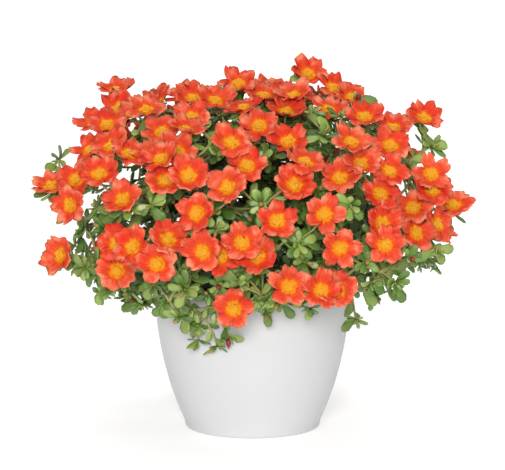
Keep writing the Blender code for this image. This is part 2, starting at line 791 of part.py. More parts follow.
def build_pot(collection):
    """The pot: a flared shell with a round foot, an even wall and an open top."""
    heights = np.linspace(0.14, 1.0, 5) * POT_HEIGHT
    skin = [(float(pot_radius(z)), float(z)) for z in heights]
    profile = [(0.0, WALL), (BASE_RADIUS - 1.5 * WALL, WALL)]
    profile += [(r - WALL, z) for r, z in skin]
    profile += [(RIM_RADIUS - share * WALL, POT_HEIGHT + 0.0007) for share in (0.7, 0.3)]
    profile += skin[::-1]
    profile += [(BASE_RADIUS + 0.0008, BASE_ROUND), (BASE_RADIUS - 0.5 * BASE_ROUND, 0.3 * BASE_ROUND),
                (BASE_RADIUS - 1.5 * BASE_ROUND, 0.0), (0.0, 0.0)]
    white = make_material("white_plastic", (0.86, 0.86, 0.87), 0.35)
    return turned("pot", profile, POT_SIDES, white, collection)


def build_soil(roots, collection, cutters):
    """The soil: it fills the pot to just below the rim, with a plain hole for each stem."""
    top = POT_HEIGHT - SOIL_BELOW_RIM
    heights = np.linspace(top, WALL + FIT_GAP, 5)
    side = [(float(pot_radius(z)) - WALL - 0.0009, float(z)) for z in heights[:-1]]
    side.append((BASE_RADIUS - 3.5 * WALL, WALL + FIT_GAP))
    profile = [(0.0, top + SOIL_CROWN), (0.5 * side[0][0], top + 0.8 * SOIL_CROWN)]
    profile += side + [(0.0, WALL + FIT_GAP)]
    brown = make_material("potting_soil", (0.045, 0.028, 0.018), 0.95)
    soil = turned("soil", profile, SOIL_SIDES, brown, collection)
    for index, root in enumerate(roots):
        middle = root + (0, 0, ROOT_DEPTH - 0.0005)
        bpy.ops.mesh.primitive_cylinder_add(vertices=6, radius=STEM_RADIUS + 0.0009, depth=2 * ROOT_DEPTH,
                                            location=middle)
        cutter = bpy.context.object
        cutter.name = f"root_hole_{index + 1:02d}"
        cutter.hide_render = True
        cutter.display_type = "WIRE"
        for holder in cutter.users_collection:
            holder.objects.unlink(cutter)
        cutters.objects.link(cutter)
    cut = soil.modifiers.new("root_holes", "BOOLEAN")
    cut.operation = "DIFFERENCE"
    cut.operand_type = "COLLECTION"
    cut.collection = cutters
    return soil


def build_plant(plant, collection):
    """The leafy stems and the bunches of blooms, one object for each node."""
    blooms, stems, sprigs, leaves = plant
    orange = make_material("orange_petals", (0.86, 0.10, 0.035), 0.45)
    green = make_material("green_leaves", (0.10, 0.20, 0.045), 0.5)
    for name, path in stems.items():
        taper = np.linspace(1.0, STEM_TAPER, len(path)) * STEM_RADIUS
        grown = [item["solid"] for item in sprigs + leaves if item["node"] == name]
        pieces = [tube_object("stem", path, taper, collection)]
        pieces += [mesh_object("sprig", *solid, collection) for solid in grown]
        join_node(name, pieces, green, True)
    for name in sorted({bloom["node"] for bloom in blooms}):
        opened = [bloom["solid"] for bloom in blooms if bloom["node"] == name]
        pieces = [mesh_object("bloom", *solid, collection) for solid in opened]
        join_node(name, pieces, orange, False)


def main():
    for obj in list(bpy.data.objects):
        bpy.data.objects.remove(obj)
    collection = make_collection("potted_portulaca")
    cutters = make_collection("cutters")
    plant = grow_plant()
    build_pot(collection)
    build_soil([path[0] for path in plant[1].values()], collection, cutters)
    build_plant(plant, collection)


main()
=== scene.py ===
"""The looks of a potted portulaca: a smooth white pot, crumbly soil, crinkled orange petals round golden
stamens, and fleshy leaves on tan stems. The model of the same plant is loaded first, and each piece takes the
place of the plain solids there or adds to them.

Metres, +Z up, the origin at the middle of the pot's flat base, and -Y towards the photograph's side.
"""

import math

import bpy
import numpy as np
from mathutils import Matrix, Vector
from mathutils.bvhtree import BVHTree


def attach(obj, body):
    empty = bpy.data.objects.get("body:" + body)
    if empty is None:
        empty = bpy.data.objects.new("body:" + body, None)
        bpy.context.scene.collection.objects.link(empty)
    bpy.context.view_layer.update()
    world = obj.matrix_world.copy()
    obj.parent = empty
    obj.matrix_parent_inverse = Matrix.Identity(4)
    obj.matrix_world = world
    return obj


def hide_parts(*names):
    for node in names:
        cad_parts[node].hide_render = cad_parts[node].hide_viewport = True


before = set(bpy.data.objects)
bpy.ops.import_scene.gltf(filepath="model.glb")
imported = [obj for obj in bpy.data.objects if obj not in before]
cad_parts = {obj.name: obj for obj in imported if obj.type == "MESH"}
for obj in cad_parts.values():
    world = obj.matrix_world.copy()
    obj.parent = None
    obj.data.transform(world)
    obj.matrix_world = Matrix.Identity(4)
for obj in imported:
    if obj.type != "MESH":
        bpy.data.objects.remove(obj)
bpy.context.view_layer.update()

# Pot and soil
POT_HEIGHT = 0.125
RIM_RADIUS = 0.0853
BASE_RADIUS = 0.0565
FLARE_POWER = 2.1
WALL = 0.003
POT_SIDES = 36
SOIL_BELOW_RIM = 0.012
SOIL_CROWN = 0.004
FIT_GAP = 0.0003
POT_CLEARANCE = 0.001

# Blooms: radii and heights are shares of a bloom's radius, and turns are shares of a petal's angle
BLOOM_RADIUS = 0.0178
BLOOM_RISE = (0.24, 0.46)
BLOOM_DEPTH = 0.20
EYE_HEIGHT = 0.06
PETALS = 5
PETAL_POINTS = 4
PETAL_TURNS = (-0.5, -0.34, 0.0, 0.34)
PETAL_REACH = (0.50, 0.97, 0.88, 0.97)
REACH_DRAW = (0.94, 1.06)
HEIGHT_DRAW = 0.05

# How far a bloom is slid in depth to cross its bunch, and how many pairs of faces have to meet
BLOOM_TRIES = 30
SLIDE_SEEN = (-0.020, 0.050)
SLIDE_REAR = (-0.002, 0.050)
SLIDE_STEP = 0.001
STRAIGHT_TRIES = 6
ASIDE_STEP = 0.025
MATE_PAIRS = 5
MATE_WINDOW = 16

# Leaves: an arm's reach, shoulders and clefts are shares of the leaf's length
LEAF_LENGTH = 0.016
LEAF_WIDTH = 0.0085
LEAF_THICKNESS = 0.0022
ARM_REACH = 0.93
ARM_CLEFT = 0.16
SHORT_ARM = 0.82
WHORL_ARMS = 3
ROSETTE_ARMS = 7

# Stems and shoots
STEM_COUNT = 10
STEM_RADIUS = 0.0021
STEM_TAPER = 0.7
STEM_CLIMBS = (math.radians(84), math.radians(8))
STEM_REACH = 0.66
STEM_FIRST_TURN = -1.2
ARCH_UP = 0.022
ARCH_BACK = 0.035
ARCH_OVER = 0.016
ARCH_POINTS = 5
ROOT_DEPTH = 0.030
ROOT_SPREAD = 0.050
SHOOT_RADIUS = 0.0012
SHOOT_TAPER = (1.15, 0.8)
SHOOT_CLEARANCE = 0.0006
SHOOT_SPAN = 0.030
SHOOT_STRAY = 0.06
SHOOT_ALONG = 0.12
FROM_BEHIND = 0.3
SHORTEST_SHOOT = 0.014
LONG_SHOOT = 0.035
JOINT_SHARES = (0.3, 0.7)
JOINT_TRIES = 26
USED_COST = 0.035
BEHIND_COST = 0.05
LOAD_COST = 0.003
BENDS = ((0.35, 0.0), (0.2, 0.2), (0.1, 0.45), (0.3, -0.2))
SPRIG_TRIES = 20
SPRIG_LIFT = (-0.30, 0.08)
SPRIG_SIZE = (0.9, 1.15)
SPRIG_SHRINK = 0.4
OWN_PAIRS = 12

# Rosettes in the widest gaps of the head
GAP_TIPS = 38
GAP_TRIALS = 400
GAP_SINES = (-0.42, 0.985)
GAP_LEVEL = 0.86
GAP_LOOK = (0.0, 0.0, 0.3)

# Bunches on the side that was not photographed, placed by the golden angle
REAR_BUNCHES = 17
REAR_SINES = (-0.22, 0.985)
REAR_TURNS = (math.radians(76), math.radians(104))
REAR_MATES = ((0.0, 0.0), (0.19, 0.02), (0.09, 0.17))
REAR_START = 0.2
REAR_ASIDE = 0.06
NARROWEST = 0.35
REAR_SUNK = 0.010
CROWN_SUNK = 0.014
GOLDEN_SHARE = 0.618034
GOLDEN_ANGLE = math.pi * (3 - math.sqrt(5))

# How deep under the dome the tips with no bloom are, and how they lean beyond straight out
TIP_DEPTH = 0.004
TIP_TOWARD = (0.0, -0.5, -0.1)
SEED = 50

# The rounded outline of the whole head, through the eyes of the outer blooms
DOME_CENTRE = np.array((0.002, 0.0, 0.165))
DOME_RADII = np.array((0.176, 0.160, 0.146))
DOME_UNDER = 0.074
DOME_POWER = 2.3
HALVINGS = 40
DOME_STEP = 0.0005

# Which way the blooms face: out of the dome and to the camera, and how steeply they look up at two heights
FACE_OUT = 0.75
FACE_CAMERA = (0.0, -0.95)
FACE_SPREAD = 0.17
LOOK_HEIGHTS = (0.120, 0.290)
LOOK_CLIMBS = (math.radians(4), math.radians(58))

# The photograph's view: where its camera stood, and the size of one pixel at the pot's axis
VIEW_DISTANCE = 2.2
VIEW_HEIGHT = 0.44
AIM_HEIGHT = 0.170
PIXEL = 0.000875
FRAME_CENTRE = (252.5, 235.0)
SEARCH_SPAN = (-0.25, 0.15)
SEARCH_STEPS = 800
CROWN_ROW = 140
CROWN_ROWS = 40
CROWN_SPREAD = 0.035

# Pixels of the photograph where the eyes of its blooms show, each row of pairs being one bunch
SEEN_BUNCHES = (
    ((308, 74),),
    ((293, 96), (286, 112)),
    ((238, 84), (263, 96)),
    ((333, 88), (351, 98), (326, 119)),
    ((116, 90), (118, 109)),
    ((146, 110), (162, 132)),
    ((193, 99), (215, 101)),
    ((243, 108), (263, 130), (288, 142)),
    ((191, 118), (186, 130), (177, 152)),
    ((364, 117), (393, 128), (390, 146)),
    ((424, 118),),
    ((90, 150), (95, 123), (107, 125)),
    ((111, 146), (129, 154), (150, 155)),
    ((161, 159), (165, 181), (188, 176)),
    ((51, 186), (76, 180), (99, 175), (70, 205)),
    ((231, 143), (247, 166), (228, 188)),
    ((305, 162), (294, 186)),
    ((351, 142), (361, 164), (340, 178)),
    ((431, 174), (432, 190)),
    ((389, 171), (380, 194), (382, 224), (385, 245)),
    ((123, 200),),
    ((197, 213),),
    ((453, 205), (437, 224), (416, 233), (413, 208)),
    ((324, 215), (340, 248)),
    ((277, 221),),
    ((117, 244), (133, 247), (117, 271)),
    ((168, 240), (157, 264)),
    ((242, 243), (257, 256), (220, 257), (203, 252)),
    ((61, 255),),
    ((289, 287), (321, 291), (337, 291)),
    ((234, 309),),
)

# Pixels where leafy tips with no open bloom show, most of them trailing over the rim
SEEN_TIPS = (
    (178, 318), (195, 327), (216, 350), (258, 303), (277, 302), (356, 321), (396, 284),
    (410, 259), (436, 249), (84, 268), (108, 292), (58, 160), (200, 88), (356, 99), (432, 146),
    (150, 205), (216, 230), (262, 205), (300, 245), (366, 262), (352, 205), (185, 290), (240, 285),
)

# Fine petals: all but the thickness in shares of a bloom's radius, over u across and v along the petal
PETAL_ROWS = (0.0, 0.38, 0.74, 1.0)
PETAL_END = (0.64, 0.86, 0.955, 0.985, 0.915, 0.985, 0.955, 0.86, 0.64)
PETAL_BREADTH = (0.08, 0.86, -0.44)
PETAL_FULLNESS = (0.75, 1.00)
BREADTH_DRAW = (0.92, 1.08)
PETAL_THICKNESS = 0.00030
PETAL_FOOT = -0.02
PETAL_LAP = 0.06
PETAL_FRILL = 0.029
NOTCH_WIDTH = 0.3
RIPPLE_ACROSS = (0.06, 4.2)
RIPPLE_ALONG = (0.045, 5.5)
PLEAT = (0.028, 8.4)
RIM_CRINKLE = 0.044
PETAL_HOLLOW = 0.055
PETAL_NOD = 0.15
BLOOM_TONE = 0.6
PETAL_TONE = 0.4
PETAL_PIECES = 8

# Stamens: the brush in shares of a bloom's radius, an anther and a filament as sizes
STAMENS = 40
STAMEN_SPREAD = 0.215
STAMEN_HEIGHT = 0.15
STAMEN_DROP = 0.45
STAMEN_FOOT = 0.3
SPREAD_STRAY = 0.02
HEIGHT_STRAY = 0.035
ANTHER_LENGTH = 0.0015
ANTHER_WIDTH = 0.00075
FILAMENT_RADIUS = 0.00016
CUSHION_RADIUS = 0.235
CUSHION_HEIGHT = 0.10
CUSHION_UNDER = 0.5
CUSHION_SIDES = 10
CUSHION_RINGS = (0.35, 0.70, 1.0)

# Fine leaves: their outline in shares of the length and of half the width, and how they grow on a shoot.
# LEAF_SIZE holds the smallest size and what may come to it
LEAF_HEEL = -0.01
LEAF_STATIONS = (0.0, 0.34, 0.68, 0.93)
LEAF_OUTLINE = (0.18, 0.66, 1.0, 0.62)
LEAF_SIDES = 6
LEAF_DEPTH = 0.30
LEAF_FACE = 0.55
LEAF_DISH = 0.25
LEAF_TONE = (-0.34, 0.38)
# Painted shade and light: a leaf's tone grows by this gain with how far out in the head its tip stands, less
# the start, which is also the most it adds
DEPTH_SHADE = (1.6, 0.75)
LEAF_PITCH = 0.0072
STEM_PITCH = 0.006
PITCH_DRAW = (0.75, 1.25)
FIRST_PITCH = 0.3
LEAF_FREE = 0.15
LEAF_FULLNESS = 0.57
FULLNESS_DRAW = (0.85, 1.15)
LEAF_LEAN = (0.35, 0.95)
LEAF_CURL = (-0.18, 0.16)
LEAF_SIZE = (0.50, 0.75)
LEAF_SPREAD = 0.65
LEAF_LIGHT = (0.0, -0.55, 0.45)
LEAF_STRAY = 0.35
LOW_HEIGHT = 0.140
LOW_SIZE = 0.70

# Whorls and rosettes: the leaves of the outer ring and the inner one, and how the leaves are drawn
SPRIG_WHORL = (6, 0)
SPRIG_ROSETTE = (ROSETTE_ARMS, 4)
SPRIG_TURN = math.pi / 3
FILL_ROSETTE = (5, 3)
FILL_LIFT = 0.25
FILL_SIZE = 0.85
FILL_OUTWARD = 0.01
WHORL_STRAY = 0.25
WHORL_LENGTH = (0.5, 1.1)
WHORL_CURL = (-0.15, 0.22)
OUTER_SLOPE = (-0.35, 0.5)
INNER_SLOPE = (0.6, 2.0)
INNER_SIZE = 0.65
WHORL_SUNK = 0.001
WHORL_OUT = 0.0008

# Room kept clear of leaves: a bloom's dish and its face in shares of its radius, and the pot's wall and soil
DISH_RISE = 0.30
DISH_DEPTH = 0.22
FACE_ROOM = 1.6
WALL_ROOM = 0.0015
RIM_ROOM = 0.002
SOIL_ROOM = 0.003
LEAF_PROBES = (0.35, 0.7, 1.0)

# Buds, and the cups under the blooms
BUD_LENGTH = 0.0085
BUD_RADIUS = 0.0023
BUD_SIDES = 6
BUD_STATIONS = (0.06, 0.35, 0.68, 0.90)
BUD_OUTLINE = (0.55, 1.0, 0.72, 0.30)
BUD_LEVEL = 0.72
BUD_SHARE = 0.50
BUD_OUT = 0.001
BUD_STRAY = 0.3
BUD_LONG = (0.6, 1.15)
BUD_WIDE = (0.75, 1.15)
BUD_TONE = (0.2, 1.0)
CROWN_HEIGHT = 0.220
CROWN_SPENT = 0.25
CUP_SUNK = 0.02
CUP_LENGTH = 0.32
CUP_RADIUS = 0.16

# Further leafy shoots that fill the head between the modelled ones, few of them in its airy upper sides
FILL_SHOOTS = 260
FILL_LEVEL = (0.72, 0.94)
INNER_SHOOTS = 310
INNER_LEVEL = (0.34, 0.72)
FILL_LOWEST = -0.42
FILL_RISE = 1.41
FILL_BOTTOM = 0.115
FRONT_BOTTOM = 0.140
AIRY_SIDES = (-0.045, 0.105)
AIRY_FRONT = 0.06
AIRY_HEIGHT = 0.190
AIRY_SHARE = 0.12
TRAILING_TIPS = ((217, 347), (198, 341), (228, 337))
TRAIL_GAP = 0.007
TRAIL_WAY = (0.0, 0.25, -1.0)

# How such a shoot runs: its usual span, and its curve in shares of the span
FILL_SPAN = 0.035
TRAIL_SPAN = 0.020
STALK_SPAN = 0.030
CROWDED_SUNK = 0.016
STALK_TOP = 0.30
STALK_NEAR = 0.006
START_TRIES = 8
STEM_STARTS = 9
SPRIG_STARTS = 6
TURNED_COST = 0.02
SHOOT_BEHIND = 0.35
SHOOT_SAG = 0.1
SHOOT_LEAVE = 0.2
SHOOT_POINTS = 7
FINE_POINTS = 16

# Round tubes: their rings and sides, a way to start a ring from, and a shoot's radii at its foot and its tip
TUBE_ASIDE = (0.3, 0.2, 0.1)
STEM_RINGS = 24
STEM_SIDES = 10
SHOOT_RINGS = 10
SHOOT_SIDES = 6
SPRIG_THICK = (1.15 * SHOOT_RADIUS, 0.75 * SHOOT_RADIUS)
FILL_THICK = (0.0012, 0.0008)
STALK_THICK = (0.0011, 0.0008)

# The pot's finish: the stretches of its profile in shares of its height, with their points
POT_TURNS = 128
OUTSIDE = (0.05, 0.985, 26)
INSIDE = (0.97, 0.10, 12)
LIP_POINTS = 9
LIP_BELOW = 0.0008
FOOT_POINTS = 7
FOOT_RADIUS = 0.0052
FOOT_TURNS = (-math.pi / 2, -0.15)

# The soil's bed: its grid, its crumbs as pairs of size and height, and the plain body under it
SOIL_RINGS = 40
SOIL_TURNS = 120
SOIL_INNER = 0.02
SOIL_EDGE = 0.99
CRUMBS = ((0.02, 0.0012), (0.009, 0.0009), (0.004, 0.0007))
CRUMB_STRAY = 0.0006
SOIL_GAP = 0.0012
SOIL_SUNK = 0.001
BODY_GAP = 0.0016
BODY_HEIGHTS = (0.5, 0.25, 0.06)

# Colours as linear red, green and blue, in ramps as pairs of place and colour
PETAL_COLOURS = (
    (0.0, (0.88, 0.37, 0.012)),
    (0.30, (0.88, 0.34, 0.012)),
    (0.41, (0.77, 0.105, 0.010)),
    (0.60, (0.70, 0.037, 0.010)),
    (0.84, (0.77, 0.100, 0.038)),
    (1.0, (0.82, 0.21, 0.105)),
)
VEIN_RED = (0.55, 0.018, 0.014)
# The pale coral and the fold red are a painted highlight and a painted shade, laid in random patches over the
# petals' outer half
CORAL_HIGHLIGHT = (0.85, 0.27, 0.160)
PAINTED_SHADE_RED = (0.56, 0.018, 0.014)
WARM_ORANGE = (0.86, 0.225, 0.110)
DEEP_ORANGE = (0.66, 0.024, 0.010)
STAMEN_COLOURS = ((0.0, (0.80, 0.30, 0.010)), (0.5, (0.84, 0.38, 0.012)), (1.0, (0.90, 0.46, 0.017)))
OLD_GOLD = (0.66, 0.36, 0.018)
# The leaves' greens over their tone: the dark end is painted shade for leaves deep in the head, and the pale
# end is partly painted light on the outer ones
LEAF_COLOURS = (
    (0.0, (0.010, 0.030, 0.005)),
    (0.35, (0.044, 0.120, 0.012)),
    (0.7, (0.110, 0.228, 0.026)),
    (1.0, (0.275, 0.390, 0.078)),
)
MOSS_GREEN = (0.20, 0.27, 0.06)
OLIVE_TAN = (0.19, 0.19, 0.050)
MARGIN_RED = (0.30, 0.10, 0.05)
BUD_COLOURS = ((0.25, (0.13, 0.22, 0.035)), (0.75, (0.34, 0.22, 0.06)), (1.0, (0.60, 0.09, 0.04)))
CUP_GREEN = (0.16, 0.24, 0.05)
SPENT_CRIMSON = (0.26, 0.016, 0.016)
STEM_COLOURS = ((0.30, (0.17, 0.21, 0.045)), (0.52, (0.33, 0.29, 0.09)), (0.72, (0.42, 0.20, 0.09)))
SAP_GREEN = (0.24, 0.30, 0.07)
POT_COLOURS = ((0.3, (0.555, 0.56, 0.565)), (0.7, (0.58, 0.58, 0.585)))
SOIL_COLOURS = ((0.30, (0.012, 0.008, 0.005)), (0.55, (0.05, 0.03, 0.018)), (0.72, (0.12, 0.075, 0.045)))
FLOOR_WHITE = (0.96, 0.96, 0.96)
PURE_WHITE = (1.0, 1.0, 1.0)

# Floor, lights and camera. A light has the place it shines from, its power and how wide it looks
FLOOR = 40.0
FLOOR_GLOW = 0.35
LIGHTS = {
    "key": ((-0.06, -1.0, 0.27), 2.5, math.radians(18)),
    "top": ((0.1, -0.3, 1.0), 1.1, math.radians(60)),
    "back": ((0.0, 1.0, 0.9), 0.7, math.radians(40)),
}
WORLD_POWER = 0.23
SENSOR = 36.0
PHOTO_WIDTH = 505


def unit(vector):
    """The vector at length one."""
    vector = np.asarray(vector, float)
    return vector / np.linalg.norm(vector)


def frame_along(axis, roll):
    """A turning matrix whose third column is the axis, turned about it by roll."""
    axis = unit(axis)
    helper = (0.0, 0.0, 1.0) if abs(axis[2]) < 0.9 else (1.0, 0.0, 0.0)
    side = unit(np.cross(axis, helper))
    other = np.cross(axis, side)
    cos, sin = math.cos(roll), math.sin(roll)
    return np.stack((cos * side + sin * other, cos * other - sin * side, axis), axis=1)


def full_turn(count):
    """Even angles round a circle."""
    return np.arange(count) * math.tau / count


def round_points(radius, turns, height):
    """Points from radii, angles and heights, as arrays that fit each other."""
    return np.stack(np.broadcast_arrays(radius * np.cos(turns), radius * np.sin(turns), height), axis=-1)


def dome_level(points):
    """How far out the points lie, 1 being on the dome: the powers of the three distances added up."""
    away = np.abs(points - DOME_CENTRE) / DOME_RADII
    under = np.abs(points[..., 2] - DOME_CENTRE[2]) / DOME_UNDER
    away[..., 2] = np.where(points[..., 2] < DOME_CENTRE[2], under, away[..., 2])
    return (away**DOME_POWER).sum(axis=-1)


def dome_normal(point):
    """The outward direction of the dome through a point, from small steps each way."""
    steps = np.eye(3) * DOME_STEP
    return unit(dome_level(point + steps) - dome_level(point - steps))


def view_ray(pixel):
    """Where the photograph's camera stood, and the direction in which it saw a pixel."""
    eye = np.array((0.0, -VIEW_DISTANCE, VIEW_HEIGHT))
    forward = np.array((0.0, 0.0, AIM_HEIGHT)) - eye
    right = np.array((1.0, 0.0, 0.0))
    up = np.cross(right, unit(forward))
    across = (pixel[0] - FRAME_CENTRE[0]) * PIXEL
    above = (FRAME_CENTRE[1] - pixel[1]) * PIXEL
    return eye, unit(forward + across * right + above * up)


def ray_points(pixel):
    """Points along a pixel's ray where it passes the plant."""
    eye, ray = view_ray(pixel)
    return eye + (VIEW_DISTANCE + np.linspace(*SEARCH_SPAN, SEARCH_STEPS))[:, None] * ray


def first_on_dome(pixel):
    """The first point of a pixel's ray on the dome, or its point nearest the dome where it misses."""
    points = ray_points(pixel)
    level = dome_level(points)
    inside = np.flatnonzero(level <= 1)
    return points[inside[0]] if len(inside) else points[level.argmin()]


def on_dome(direction):
    """The dome's point in a direction from its centre, found by halving the distance."""
    near, far = 0.0, 2 * max(DOME_RADII)
    for _ in range(HALVINGS):
        middle = (near + far) / 2
        if dome_level(DOME_CENTRE + middle * direction) < 1:
            near = middle
        else:
            far = middle
    return DOME_CENTRE + near * direction


def bloom_solid(place, facing, roll, rise, draw):
    """A bloom's points and faces: notched petals in a dish, joined to a point in its middle and one below.

    The rim's radius falls to a cleft between petals and to a notch in each, and its height follows the
    radius to the power 1.5."""
    count = PETALS * PETAL_POINTS
    angles = (np.arange(PETALS)[:, None] + PETAL_TURNS).ravel() * math.tau / PETALS
    radii = np.tile(PETAL_REACH, PETALS) * draw.uniform(*REACH_DRAW, count)
    heights = rise * radii**1.5 + draw.uniform(-HEIGHT_DRAW, HEIGHT_DRAW, count)
    rim = round_points(radii, angles, heights)
    middles = np.array(((0.0, 0.0, EYE_HEIGHT), (0.0, 0.0, -BLOOM_DEPTH)))
    faces = [(count, i, (i + 1) % count) for i in range(count)]
    faces += [(count + 1, (i + 1) % count, i) for i in range(count)]
    points = np.concatenate((rim, middles)) * BLOOM_RADIUS
    return points @ frame_along(facing, roll).T + place, faces


def shoot_rings(path, radii, end_frame):
    """Three points round each of a path's points, lined up with the end's frame and carried back."""
    along = np.gradient(path, axis=0)
    side = end_frame[:, 0]
    rings = []
    for index in range(len(path) - 1, -1, -1):
        axis = end_frame[:, 2] if index == len(path) - 1 else unit(along[index])
        side = unit(side - axis * side.dot(axis))
        other = np.cross(axis, side)
        turns = full_turn(3)[:, None]
        ring = np.cos(turns) * side + np.sin(turns) * other
        rings.append(path[index] + radii[index] * ring)
    return rings[::-1]


def sprig_solid(path, facing, roll, arms, size, lift):
    """A shoot and the whorl of leaves at its end in one skin, as points and faces.

    The whorl is a star of blunt arms round its own middle: a rim that falls to a cleft between arms, a point
    above, and below it the shoot's last ring of three. With no arms the shoot ends in a point."""
    axes = frame_along(facing, roll)
    radii = np.linspace(*SHOOT_TAPER, len(path)) * SHOOT_RADIUS
    spine = path.copy()
    spine[-1] = path[-1] - 0.5 * LEAF_THICKNESS * facing
    points = np.concatenate(shoot_rings(spine, radii, axes))
    last = 3 * (len(path) - 1)
    faces = [(2, 1, 0)]
    for start in range(0, last, 3):
        for k in range(3):
            following = (k + 1) % 3
            faces.append((start + k, start + following, start + 3 + k))
            faces.append((start + following, start + 3 + following, start + 3 + k))
    apex = path[-1] + 0.5 * LEAF_THICKNESS * facing
    count = 3 * arms
    if arms:
        turn = math.tau / arms
        length = LEAF_LENGTH * size
        spread = math.asin(0.5 * LEAF_WIDTH / (ARM_REACH * LEAF_LENGTH))
        angles = (np.arange(arms)[:, None] * turn + (0.0, turn / 2 - spread, turn / 2 + spread)).ravel()
        shorter = np.where(np.arange(arms) % 2, SHORT_ARM, 1.0)
        reach = (shorter[:, None] * (0.0, ARM_REACH, ARM_REACH)).ravel() * length
        reach[::3] = ARM_CLEFT * length
        rise = lift * length * np.tile((0.0, 1.0, 1.0), arms)
        rim = round_points(reach, angles, rise) @ axes.T + path[-1]
        points = np.concatenate((points, rim, apex[None]))
        first = last + 3
        faces += [(first + i, first + (i + 1) % count, first + count) for i in range(count)]
        sector = count // 3
        for k in range(3):
            low, high = last + k, last + (k + 1) % 3
            edge = [first + (k * sector + i) % count for i in range(sector + 1)]
            half = sector // 2 + 1
            faces += [(low, edge[i + 1], edge[i]) for i in range(half)]
            faces.append((low, high, edge[half]))
            faces += [(high, edge[i + 1], edge[i]) for i in range(half, sector)]
    else:
        points = np.concatenate((points, apex[None]))
        faces += [(last + k, last + (k + 1) % 3, last + 3) for k in range(3)]
    return points, faces


def folded(points, faces):
    """Whether any two faces that share no point cross."""
    tree = BVHTree.FromPolygons(points.tolist(), faces)
    return any(not set(faces[a]) & set(faces[b]) for a, b in tree.overlap(tree))


def tube_solid(path, radius):
    """A three-sided tube's points and faces round a path, for finding what a shoot or stem would cross."""
    path = np.asarray(path)
    end_frame = frame_along(path[-1] - path[-2], 0.0)
    rings = np.concatenate(shoot_rings(path, [radius] * len(path), end_frame))
    faces = [(3 * r + k, 3 * r + (k + 1) % 3, 3 * r + 3 + (k + 1) % 3, 3 * r + 3 + k)
             for r in range(len(path) - 1) for k in range(3)]
    return rings, faces


class Thicket:
    """What stands where, item by item, so that nothing new is put through another node."""

    def __init__(self):
        self.nodes, self.lows, self.highs, self.trees = [], [], [], []

    def add(self, node, points, faces):
        """Fills the space of these faces for a node, and gives the new item's number."""
        self.nodes.append(node)
        self.lows.append(points.min(axis=0))
        self.highs.append(points.max(axis=0))
        self.trees.append(BVHTree.FromPolygons(points.tolist(), faces))
        return len(self.nodes) - 1

    def met(self, points, faces):
        """The items that these faces cross, each with the number of pairs of faces that meet."""
        if not self.nodes:
            return {}
        near = (np.array(self.lows) <= points.max(axis=0)).all(axis=1)
        near &= (np.array(self.highs) >= points.min(axis=0)).all(axis=1)
        tree = BVHTree.FromPolygons(points.tolist(), faces)
        pairs = {int(i): len(tree.overlap(self.trees[i])) for i in np.flatnonzero(near)}
        return {item: count for item, count in pairs.items() if count}

    def one_bunch(self, met):
        """The bunch that all the items met belong to, or None."""
        nodes = {self.nodes[item] for item in met}
        return nodes.pop() if len(nodes) == 1 and min(nodes).startswith("bloom") else None

    def strangers(self, met, node):
        """Whether any of the items met belongs to another node."""
        return any(self.nodes[item] != node for item in met)


def pot_radius(height):
    """The pot's outer radius at a height: it flares from the base and stands upright at the rim."""
    share = np.clip(height / POT_HEIGHT, 0, 1)
    return BASE_RADIUS + (RIM_RADIUS - BASE_RADIUS) * (1 - (1 - share) ** FLARE_POWER)


def pot_wall_solid():
    """The pot's outer skin and its rim as a ring of faces, for keeping stems off it."""
    heights = np.linspace(0.0, POT_HEIGHT, 5)
    outer = [(pot_radius(z) + POT_CLEARANCE, z) for z in heights]
    inside = RIM_RADIUS - WALL - POT_CLEARANCE
    above = POT_HEIGHT + POT_CLEARANCE
    profile = outer + [(outer[-1][0], above), (inside, above), (inside, POT_HEIGHT - SOIL_BELOW_RIM)]
    sides, rings = POT_SIDES, len(profile)
    angles = np.arange(sides) * math.tau / sides
    points = np.array([(r * math.cos(a), r * math.sin(a), z) for a in angles for r, z in profile])
    faces = [(s * rings + i, (s + 1) % sides * rings + i, (s + 1) % sides * rings + i + 1, s * rings + i + 1)
             for s in range(sides) for i in range(rings - 1)]
    return points, faces


def bloom_facing(point, seen, draw):
    """A bloom faces out of the dome, and more upward the higher it is. One that shows turns to the camera."""
    aside = FACE_OUT * dome_normal(point)[:2]
    if seen:
        aside = aside + FACE_CAMERA
    climb = np.interp(point[2], LOOK_HEIGHTS, LOOK_CLIMBS)
    direction = np.append(math.cos(climb) * unit(aside), math.sin(climb))
    return unit(direction + draw.normal(0.0, FACE_SPREAD, 3))


def place_bloom(node, spot, slide, seen, mates, thicket, draw):
    """A bloom at its spot, slid in depth until it crosses its bunch a little and nothing else, or None.

    With no node given it joins whichever one bunch it crosses."""
    for attempt in range(BLOOM_TRIES):
        facing = bloom_facing(spot, seen, draw)
        roll, rise = draw.uniform(0, math.tau), draw.uniform(*BLOOM_RISE)
        state = int(draw.integers(1 << 30))
        aside, aim = np.zeros(3), 0.0
        if mates:
            ways = np.array(mates) - spot
            across = ways - (ways @ slide)[:, None] * slide
            nearest = np.linalg.norm(across, axis=1).argmin()
            aim = 0.5 * ways[nearest] @ slide
            aside = ASIDE_STEP * max(attempt - STRAIGHT_TRIES, 0) * across[nearest]
        offsets = np.arange(*(SLIDE_SEEN if seen else SLIDE_REAR), SLIDE_STEP)
        offsets = offsets[np.argsort(np.abs(offsets - aim), kind="stable")]
        best, least = None, math.inf
        for tried, offset in enumerate(offsets):
            if best and tried > MATE_WINDOW:
                break
            place = spot + aside + offset * slide
            solid = bloom_solid(place, facing, roll, rise, np.random.default_rng(state))
            met = thicket.met(*solid)
            pairs = sum(met.values())
            host = node or thicket.one_bunch(met)
            if not host or thicket.strangers(met, host) or pairs >= least:
                continue
            if (mates or not node) and pairs < MATE_PAIRS:
                continue
            best, least = (host, place, solid), pairs
            if node and not mates:
                break
        if best:
            host, place, solid = best
            thicket.add(host, *solid)
            return {"node": host, "place": place, "facing": facing, "roll": roll, "rise": rise,
                    "state": state}
    return None


def bunch_name(index):
    """The node of a bunch, from its place in the list of bunches."""
    return f"bloom_bunch_{index + 1:02d}"


